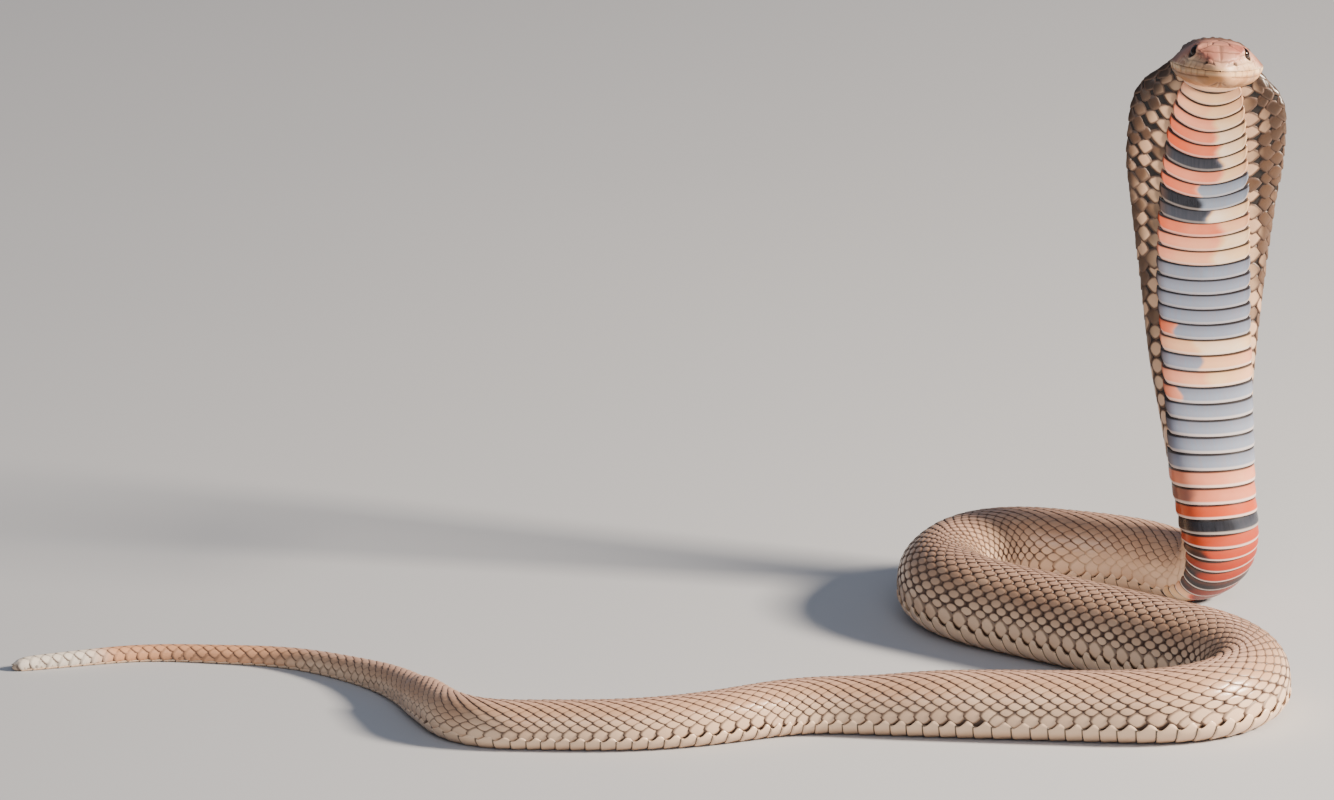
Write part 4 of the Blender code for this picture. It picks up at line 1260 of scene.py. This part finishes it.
# %% Bands from the base up
BANDS = [
    ((0.05, 0.0, 0.0), (1.0, 0.0, 0.3), 0.15),
    ((0.05, 0.0, 0.0), (1.0, 0.0, 0.5), 0.3),
    ((0.10, 0.0, 0.0), (0.92, 0.0, 0.0), 0.45),
    ((0.90, 0.0, 0.7), (0.90, 0.0, 0.0), 0.6),
    ((0.95, 0.0, 1.0), (0.92, 0.1, 0.75), 0.3),
    ((0.86, 0.0, 0.9), (0.80, 0.0, 0.0), 0.6),
    ((0.80, 0.0, 0.1), (0.78, 0.0, 0.0), 0.0),
    ((0.78, 0.0, 0.8), (0.72, 0.0, 0.0), 0.45),
    ((0.70, 0.0, 0.0), (0.68, 0.0, 0.0), 0.0),
    ((0.60, 1.0, 0.85), (0.60, 1.0, 0.7), 0.0),
    ((0.58, 0.0, 0.0), (0.54, 0.0, 0.0), 0.0),
    ((0.34, 0.4, 0.5), (0.38, 0.1, 0.0), 0.45),
    ((0.34, 0.0, 0.0), (0.26, 0.0, 0.0), 0.0),
    ((0.20, 1.0, 0.0), (0.20, 1.0, 0.0), 0.0),
    ((0.20, 1.0, 0.1), (0.20, 1.0, 0.0), 0.0),
    ((0.20, 1.0, 0.0), (0.20, 1.0, 0.0), 0.0),
    ((0.20, 1.0, 0.0), (0.20, 1.0, 0.1), 0.0),
    ((0.32, 0.0, 0.0), (0.20, 1.0, 0.0), 0.6),
    ((0.26, 0.0, 0.0), (0.12, 0.0, 0.0), 0.0),
    ((0.24, 0.9, 0.1), (0.20, 0.0, 0.0), 0.1),
    ((0.20, 0.0, 0.0), (0.05, 0.0, 0.0), 0.2),
    ((0.40, 0.0, 0.0), (0.20, 1.0, 0.0), 0.58),
    ((0.20, 1.0, 0.0), (0.20, 1.0, 0.0), 0.0),
    ((0.20, 1.0, 0.1), (0.20, 1.0, 0.0), 0.0),
    ((0.20, 1.0, 0.0), (0.20, 1.0, 0.0), 0.0),
    ((0.20, 1.0, 0.2), (0.20, 1.0, 0.0), 0.0),
    ((0.26, 0.0, 0.0), (0.03, 0.0, 0.0), -0.2),
    ((0.28, 0.0, 0.0), (0.02, 0.0, 0.0), -0.3),
    ((0.44, 0.0, 0.0), (0.16, 0.1, 0.0), -0.35),
    ((0.30, 1.0, 0.7), (0.02, 0.0, 0.0), -0.1),
    ((0.20, 1.0, 1.0), (0.10, 1.0, 0.15), 0.1),
    ((0.46, 0.0, 0.1), (0.10, 1.0, 0.0), 0.1),
    ((0.40, 0.0, 0.0), (0.10, 0.0, 0.0), -0.35),
    ((0.30, 1.0, 0.75), (0.05, 0.0, 0.0), -0.35),
    ((0.52, 0.0, 0.0), (0.03, 0.0, 0.0), -0.3),
    ((0.46, 0.0, 0.0), (0.05, 0.0, 0.0), -0.2),
    ((0.32, 0.0, 0.0), (0.08, 0.0, 0.0), -0.2),
    ((0.20, 0.0, 0.0), (0.10, 0.0, 0.0), 0.0),
    ((0.16, 0.0, 0.0), (0.11, 0.0, 0.0), 0.0),
    ((0.17, 0.0, 0.1), (0.14, 0.0, 0.0), 0.0),
    ((0.22, 0.0, 0.25), (0.18, 0.0, 0.15), 0.0),
]
BAND_SOFT = 0.11
BAND_WANDER = 0.06
WANDER_ALONG, WANDER_PHASE = 5.0, 2.4


def band_values(count, across, run):
    """Warmth, slate and black at every point of each raised plate, with borders that wander a little."""
    rows_of = [BANDS[min(k, len(BANDS) - 1)] for k in range(count)]
    phase = per_tile(np.arange(count)) * WANDER_PHASE
    split = per_tile([row[2] for row in rows_of])
    split = split + BAND_WANDER * np.sin(run[None, :, None] * WANDER_ALONG + phase)
    to_right = ease((-across[None, None, :] - split) / (2 * BAND_SOFT) + 0.5)
    found = []
    for k in (0, 1, 2):
        right_side, left_side = [per_tile([row[side][k] for row in rows_of]) for side in (0, 1)]
        found.append(right_side * to_right + left_side * (1 - to_right))
    return found


print(len(BANDS), "bands listed")


# %% The plates' finish
def plate_finish(name, banded):
    made, start, shader = finish_of(name, 0.24, 0.55)
    run = value_of(start, "run")
    across = value_of(start, "across")
    fine = noise(start, PER_METRE["plate clouds"], 3.0)
    if banded:
        warm = value_of(start, "warm") + (fine - 0.5) * 0.22
        along_body = value_of(start, "along")
        lines = start.node("ShaderNodeCombineXYZ", None, {"X": across * 26.0, "Y": along_body * 0.12})
        grain = noise(start, 1.0, 3.0, lines)
        slate = value_of(start, "slate")
        smoky = (grain * 0.6 + fine * 0.3).blend(SLATE, SLATE_PALE)
        # Painted shade: slate darkens towards the plate's forward part, under the plate ahead.
        smoky = (run.step(0.25, 0.95) * 0.55).blend(smoky, SLATE_SHADED)
        # Each warm plate is paler in its middle than at its ends: partly its own colour, partly a painted
        # highlight.
        base = start.node("ShaderNodeValToRGB", {"stops": WARM_RAMP}, {"Fac": warm + (across * across) * 0.1})
        base = (slate.step(0.25, 0.8) * (0.95 + (grain - 0.5) * 0.2)).blend(base, smoky)
        black = value_of(start, "black").step(0.0, 0.9) * (0.98 + (grain - 0.5) * 0.16)
        base = black.blend(base, SLATE_BLACK)
        # Both plate ends go towards dark brown: partly dark skin, partly painted shade, stronger on the right
        # end (the camera's left) and on slate plates.
        right_end_shade = (0 - across).step(0.70, 1.0)
        left_end_shade = across.step(0.82, 1.0)
        base = (right_end_shade * (0.25 + slate.step(0.0, 0.6) * 0.6) + left_end_shade * 0.35).blend(base, SKIN_AND_SHADE_BROWN)
        # Painted shade: warm plates darken towards their forward part, under the plate ahead.
        base = (run.step(0.35, 0.95) * 0.3 * (1 - slate)).blend(base, WARM_SHADED)
        # The pale rim along each plate's free edge: partly its own colour, partly a painted highlight, fainter
        # on the hood.
        pale = (1 - run.step(0.07, 0.2)) * (0.78 - slate.step(0.5, 0.9) * 0.3)
        base = (pale * (1 - along_body.step(920.0, 1000.0) * 0.55)).blend(base, RIM_PALE_AND_HIGHLIGHT)
    else:
        base = (fine * 0.9).blend(SCALE_TAN, SCALE_PALE)
        base = (across * across).step(0.1, 0.7).blend(base, SCALE_PALE)
    end_of_plate = across.size().step(0.9, 0.97)
    line_from, line_to = (0.77, 0.87) if banded else (0.85, 0.93)
    # The dark line at each plate's forward part, just under the rim of the plate ahead: partly dark skin,
    # partly painted shade.
    under = run.step(line_from, line_to) * 0.95 * (1 - end_of_plate * 0.4)
    connect(under.blend(base, SKIN_AND_SHADE_BLACK), shader, "Base Color")
    bumped(start, noise(start, PER_METRE["plate grain"], 2.0), GRAIN_DEPTH["plate grain"], shader)
    return made


scute_finish = plate_finish("neck_plates", True)
belly_finish = plate_finish("belly_plates", False)
print("finishes ready:", scute_finish.name, "and", belly_finish.name)

# %% Lay the raised plates
NECK_COLUMNS, BELLY_COLUMNS, TAIL_COLUMNS = 57, 41, 17
NECK_CORNER, BELLY_CORNER, TAIL_CORNER = 0.42, 0.4, 0.34
NECK_ARCH, BELLY_ARCH, TAIL_ARCH = 0.03, 0.16, 0.10
NECK_LIFT, BELLY_LIFT, TAIL_LIFT = 1.0, 0.8, 0.7
LAST_RUN_ON = 5.0


def crowded(columns):
    """Places from -1 to 1, closer together at both ends."""
    return np.sin(np.linspace(-1, 1, columns) * math.pi / 2)


wide = crowded(NECK_COLUMNS)
pitch_up = smooth(SCUTE_PITCH, raised_edges)
sags, tilts = smooth(SCUTE_SAG, raised_edges), smooth(SCUTE_TILT, raised_edges)
laid = lay_plates(raised_edges, pitch_up, sags, tilts, NECK_CORNER, NECK_ARCH, wide, NECK_LIFT)
warmth, slate, black = band_values(len(raised_edges), wide, PLATE_RUN)
neck_plates = plate_piece("neck_plates", laid, {"warm": warmth, "slate": slate, "black": black}, scute_finish)

# %% Lay the plates of the lying body and the tail
def level_plates(edges, after, corner, arch, across, lift):
    """Plates without sag or tilt. The last one runs on to the place given."""
    nothing = np.zeros(len(edges))
    return lay_plates(edges, np.append(np.diff(edges), after), nothing, nothing, corner, arch, across, lift)


laid = level_plates(lying_edges, LAST_RUN_ON, BELLY_CORNER, BELLY_ARCH, crowded(BELLY_COLUMNS), BELLY_LIFT)
belly_plates = plate_piece("belly_plates", laid, {}, belly_finish)

tail_sides = []
for sign in (-1, 1):
    half = np.sort(sign * (0.5 + 0.48 * crowded(TAIL_COLUMNS)))
    nothing = np.zeros(len(tail_edges))
    offset = 0.25 * smooth(ROW_PITCH, tail_edges) * sign
    run_on = np.append(np.diff(tail_edges), lying_edges[0] - tail_edges[-1])
    laid = lay_plates(tail_edges + offset, run_on, nothing, nothing, TAIL_CORNER, TAIL_ARCH, half, TAIL_LIFT)
    tail_sides.append(plate_piece(f"tail_plates_{'right' if sign > 0 else 'left'}", laid, {}, belly_finish))

# %% [markdown]
# ## Eyes
# The eye is a near-black ball with a round pupil, a thin dark-amber iris and a wet surface. A snake has no
# lids: a clear scale covers the eye, so a coat of gloss on the ball is all it needs. The pupil is drawn by
# how far a point is from the ball's outward axis.

# %% Two wet eyes
eye_finish, start, shader = finish_of("wet_eye", 0.06, 0.3, 0.1)
off_axis = value_of(start, "off_axis")
in_iris = off_axis.step(0.46, 0.52) * (1 - off_axis.step(0.80, 0.95))
connect(in_iris.blend(PUPIL_BLACK, IRIS_AMBER), shader, "Base Color")

EYE_ROWS, EYE_COLUMNS = 28, 40
EYE_TURNED_AHEAD = 0.25
EYE_MAP_EDGE = 0.05
eyes = []
for sign, name in ((-1, "eye_left"), (1, "eye_right")):
    centre = place(EYE_PLACE[0], sign * (EYE_PLACE[1] + EYE_OUT), EYE_PLACE[2])
    out = sign * read_spine(RIGHTS, EYE_PLACE[0]) + EYE_TURNED_AHEAD * read_spine(AHEADS, EYE_PLACE[0])
    out = out / np.linalg.norm(out)
    one = np.cross(out, [0.0, 0.0, 1.0])
    one = one / np.linalg.norm(one)
    two = np.cross(out, one)
    tilt_angles = np.linspace(0, math.pi, EYE_ROWS)[1:-1]
    turns = np.arange(EYE_COLUMNS) * 2 * math.pi / EYE_COLUMNS
    sideways = np.cos(turns)[None, :, None] * one + np.sin(turns)[None, :, None] * two
    ring_points = centre + EYE_RADIUS * (
        np.cos(tilt_angles)[:, None, None] * out + np.sin(tilt_angles)[:, None, None] * sideways
    )
    poles = [centre + EYE_RADIUS * out, centre - EYE_RADIUS * out]
    points = np.concatenate([ring_points.reshape(-1, 3), poles])
    faces = net_faces(len(tilt_angles), EYE_COLUMNS, True).tolist()
    top, bottom = len(points) - 2, len(points) - 1
    low = (len(tilt_angles) - 1) * EYE_COLUMNS
    faces += [((k + 1) % EYE_COLUMNS, k, top) for k in range(EYE_COLUMNS)]
    faces += [(low + k, low + (k + 1) % EYE_COLUMNS, bottom) for k in range(EYE_COLUMNS)]
    values = {"off_axis": np.concatenate([np.repeat(tilt_angles, EYE_COLUMNS), [0.0, math.pi]])}
    flat = []
    for face in faces:
        for v in face:
            row, column = divmod(v, EYE_COLUMNS)
            if v >= top:
                row, column = (0 if v == top else len(tilt_angles)), 0
            shares = (column / EYE_COLUMNS, row / (len(tilt_angles) + 1))
            flat.append([EYE_MAP_EDGE + (1 - 2 * EYE_MAP_EDGE) * share for share in shares])
    eyes.append(mesh_piece(f"cobra_{name}", points, faces, values, np.array(flat), eye_finish))

# %% [markdown]
# ## Hand everything to the frame
# The skin stands for all the lengths of flesh and for the head, and each eye for its own solid. Scales and
# plates lie over the skin. Nothing moves, so all of it rides on the one body.

# %% Ride and replace
flesh = [name for name in frame["nodes"] if not name.startswith("eye_")]
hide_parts(*flesh)
for made, node in zip(eyes, ("eye_left", "eye_right")):
    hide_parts(node)
pieces = [skin, neck_plates, belly_plates, *tail_sides, *coat, *eyes]
for made in pieces:
    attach(made, "root")
print("pieces:", len(pieces))

# %% [markdown]
# ## Floor, light and camera
# The animal lies on a plain pale floor. A warm light from the right models it as a low sun would, and a
# broad cool light and a dim surround fill the shade. The camera looks down at 15.7 degrees, turned by a
# hair, through a long lens, so that near and far parts keep nearly one scale.

# %% Floor
floor_finish, start, shader = finish_of("pale_floor", 0.8, 0.2)
clouds = noise(start, PER_METRE["floor clouds"], 2.0) * 0.5
connect(clouds.blend(FLOOR_DIM, FLOOR_PALE), shader, "Base Color")
FLOOR_HALF = 9.0
floor_corners = [(x * FLOOR_HALF, y * FLOOR_HALF, 0.0) for x, y in ((-1, -1), (1, -1), (1, 1), (-1, 1))]
floor_mesh = bpy.data.meshes.new("floor")
floor_mesh.from_pydata(floor_corners, [], [(0, 1, 2, 3)])
floor_mesh.materials.append(floor_finish)
floor = bpy.data.objects.new("floor", floor_mesh)
bpy.context.scene.collection.objects.link(floor)
floor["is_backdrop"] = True
print("floor of", 2 * FLOOR_HALF, "m")

# %% Light
SKY_COLOUR, SKY_STRENGTH = (0.72, 0.80, 1.0, 1.0), 0.25
LIT_PLACE = np.array([0.08, 0.0, 0.08])
KEY = {"azimuth": 77.0, "elevation": 27.0, "distance": 2.0, "size": 0.36, "watts": 150.0}
FILL = {"azimuth": 5.0, "elevation": 35.0, "distance": 2.4, "size": 1.4, "watts": 16.0}
KEY_COLOUR, FILL_COLOUR = (1.0, 0.87, 0.72), (0.90, 0.94, 1.0)

world = bpy.data.worlds.new("soft_surround")
world.use_nodes = True
world.node_tree.nodes["Background"].inputs["Color"].default_value = SKY_COLOUR
world.node_tree.nodes["Background"].inputs["Strength"].default_value = SKY_STRENGTH
bpy.context.scene.world = world


def area_light(name, azimuth, elevation, distance, size, watts, colour):
    """A square light that looks at the animal. Azimuth 0 is the camera's side, 90 the right."""
    lamp = bpy.data.lights.new(name, "AREA")
    lamp.shape = "SQUARE"
    lamp.size = size
    lamp.energy = watts
    lamp.color = colour
    made = bpy.data.objects.new(name, lamp)
    a, e = math.radians(azimuth), math.radians(elevation)
    towards = np.array([math.sin(a) * math.cos(e), -math.cos(a) * math.cos(e), math.sin(e)])
    made.location = LIT_PLACE + distance * towards
    made.rotation_mode = "QUATERNION"
    made.rotation_quaternion = Vector(-towards).to_track_quat("-Z", "Y")
    bpy.context.scene.collection.objects.link(made)


area_light("key", colour=KEY_COLOUR, **KEY)
area_light("fill", colour=FILL_COLOUR, **FILL)
print("lights of", KEY["watts"], "and", FILL["watts"], "W")

# %% Camera
PHOTO_WIDTH, PHOTO_HEIGHT = 1334, 800
SPAN_MM = 506.85
SENSOR = 36.0
CLIP_START, CLIP_END = 0.1, 120.0
CAMERA_DISTANCE = 14.0
CAMERA_ELEVATION = math.radians(15.7)
CAMERA_YAW = math.radians(0.3)
LOOK_AT = np.array([253.2, 80.0, 99.7])
aim = (LOOK_AT + SHIFT) * MM
level = math.cos(CAMERA_ELEVATION)
backward = [math.sin(CAMERA_YAW) * level, -math.cos(CAMERA_YAW) * level, math.sin(CAMERA_ELEVATION)]
lens = bpy.data.cameras.new("camera")
lens.sensor_width = SENSOR
lens.lens = SENSOR * CAMERA_DISTANCE / (SPAN_MM * MM)
lens.clip_start = CLIP_START
lens.clip_end = CLIP_END
camera = bpy.data.objects.new("camera", lens)
camera.location = aim + np.array(backward) * CAMERA_DISTANCE
camera.rotation_euler = (math.pi / 2 - CAMERA_ELEVATION, 0.0, CAMERA_YAW)
bpy.context.scene.collection.objects.link(camera)
bpy.context.scene.camera = camera
print("lens of", round(lens.lens), "mm at", CAMERA_DISTANCE, "m, frame of", PHOTO_WIDTH, "by", PHOTO_HEIGHT)

# %% [markdown]
# ## The size
# The dressed animal's box is printed, as the solids' box was at the start.

# %% Sizes
low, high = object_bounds()
print("visual box in mm:", [round((b - a) * 1000, 1) for a, b in zip(low, high)])
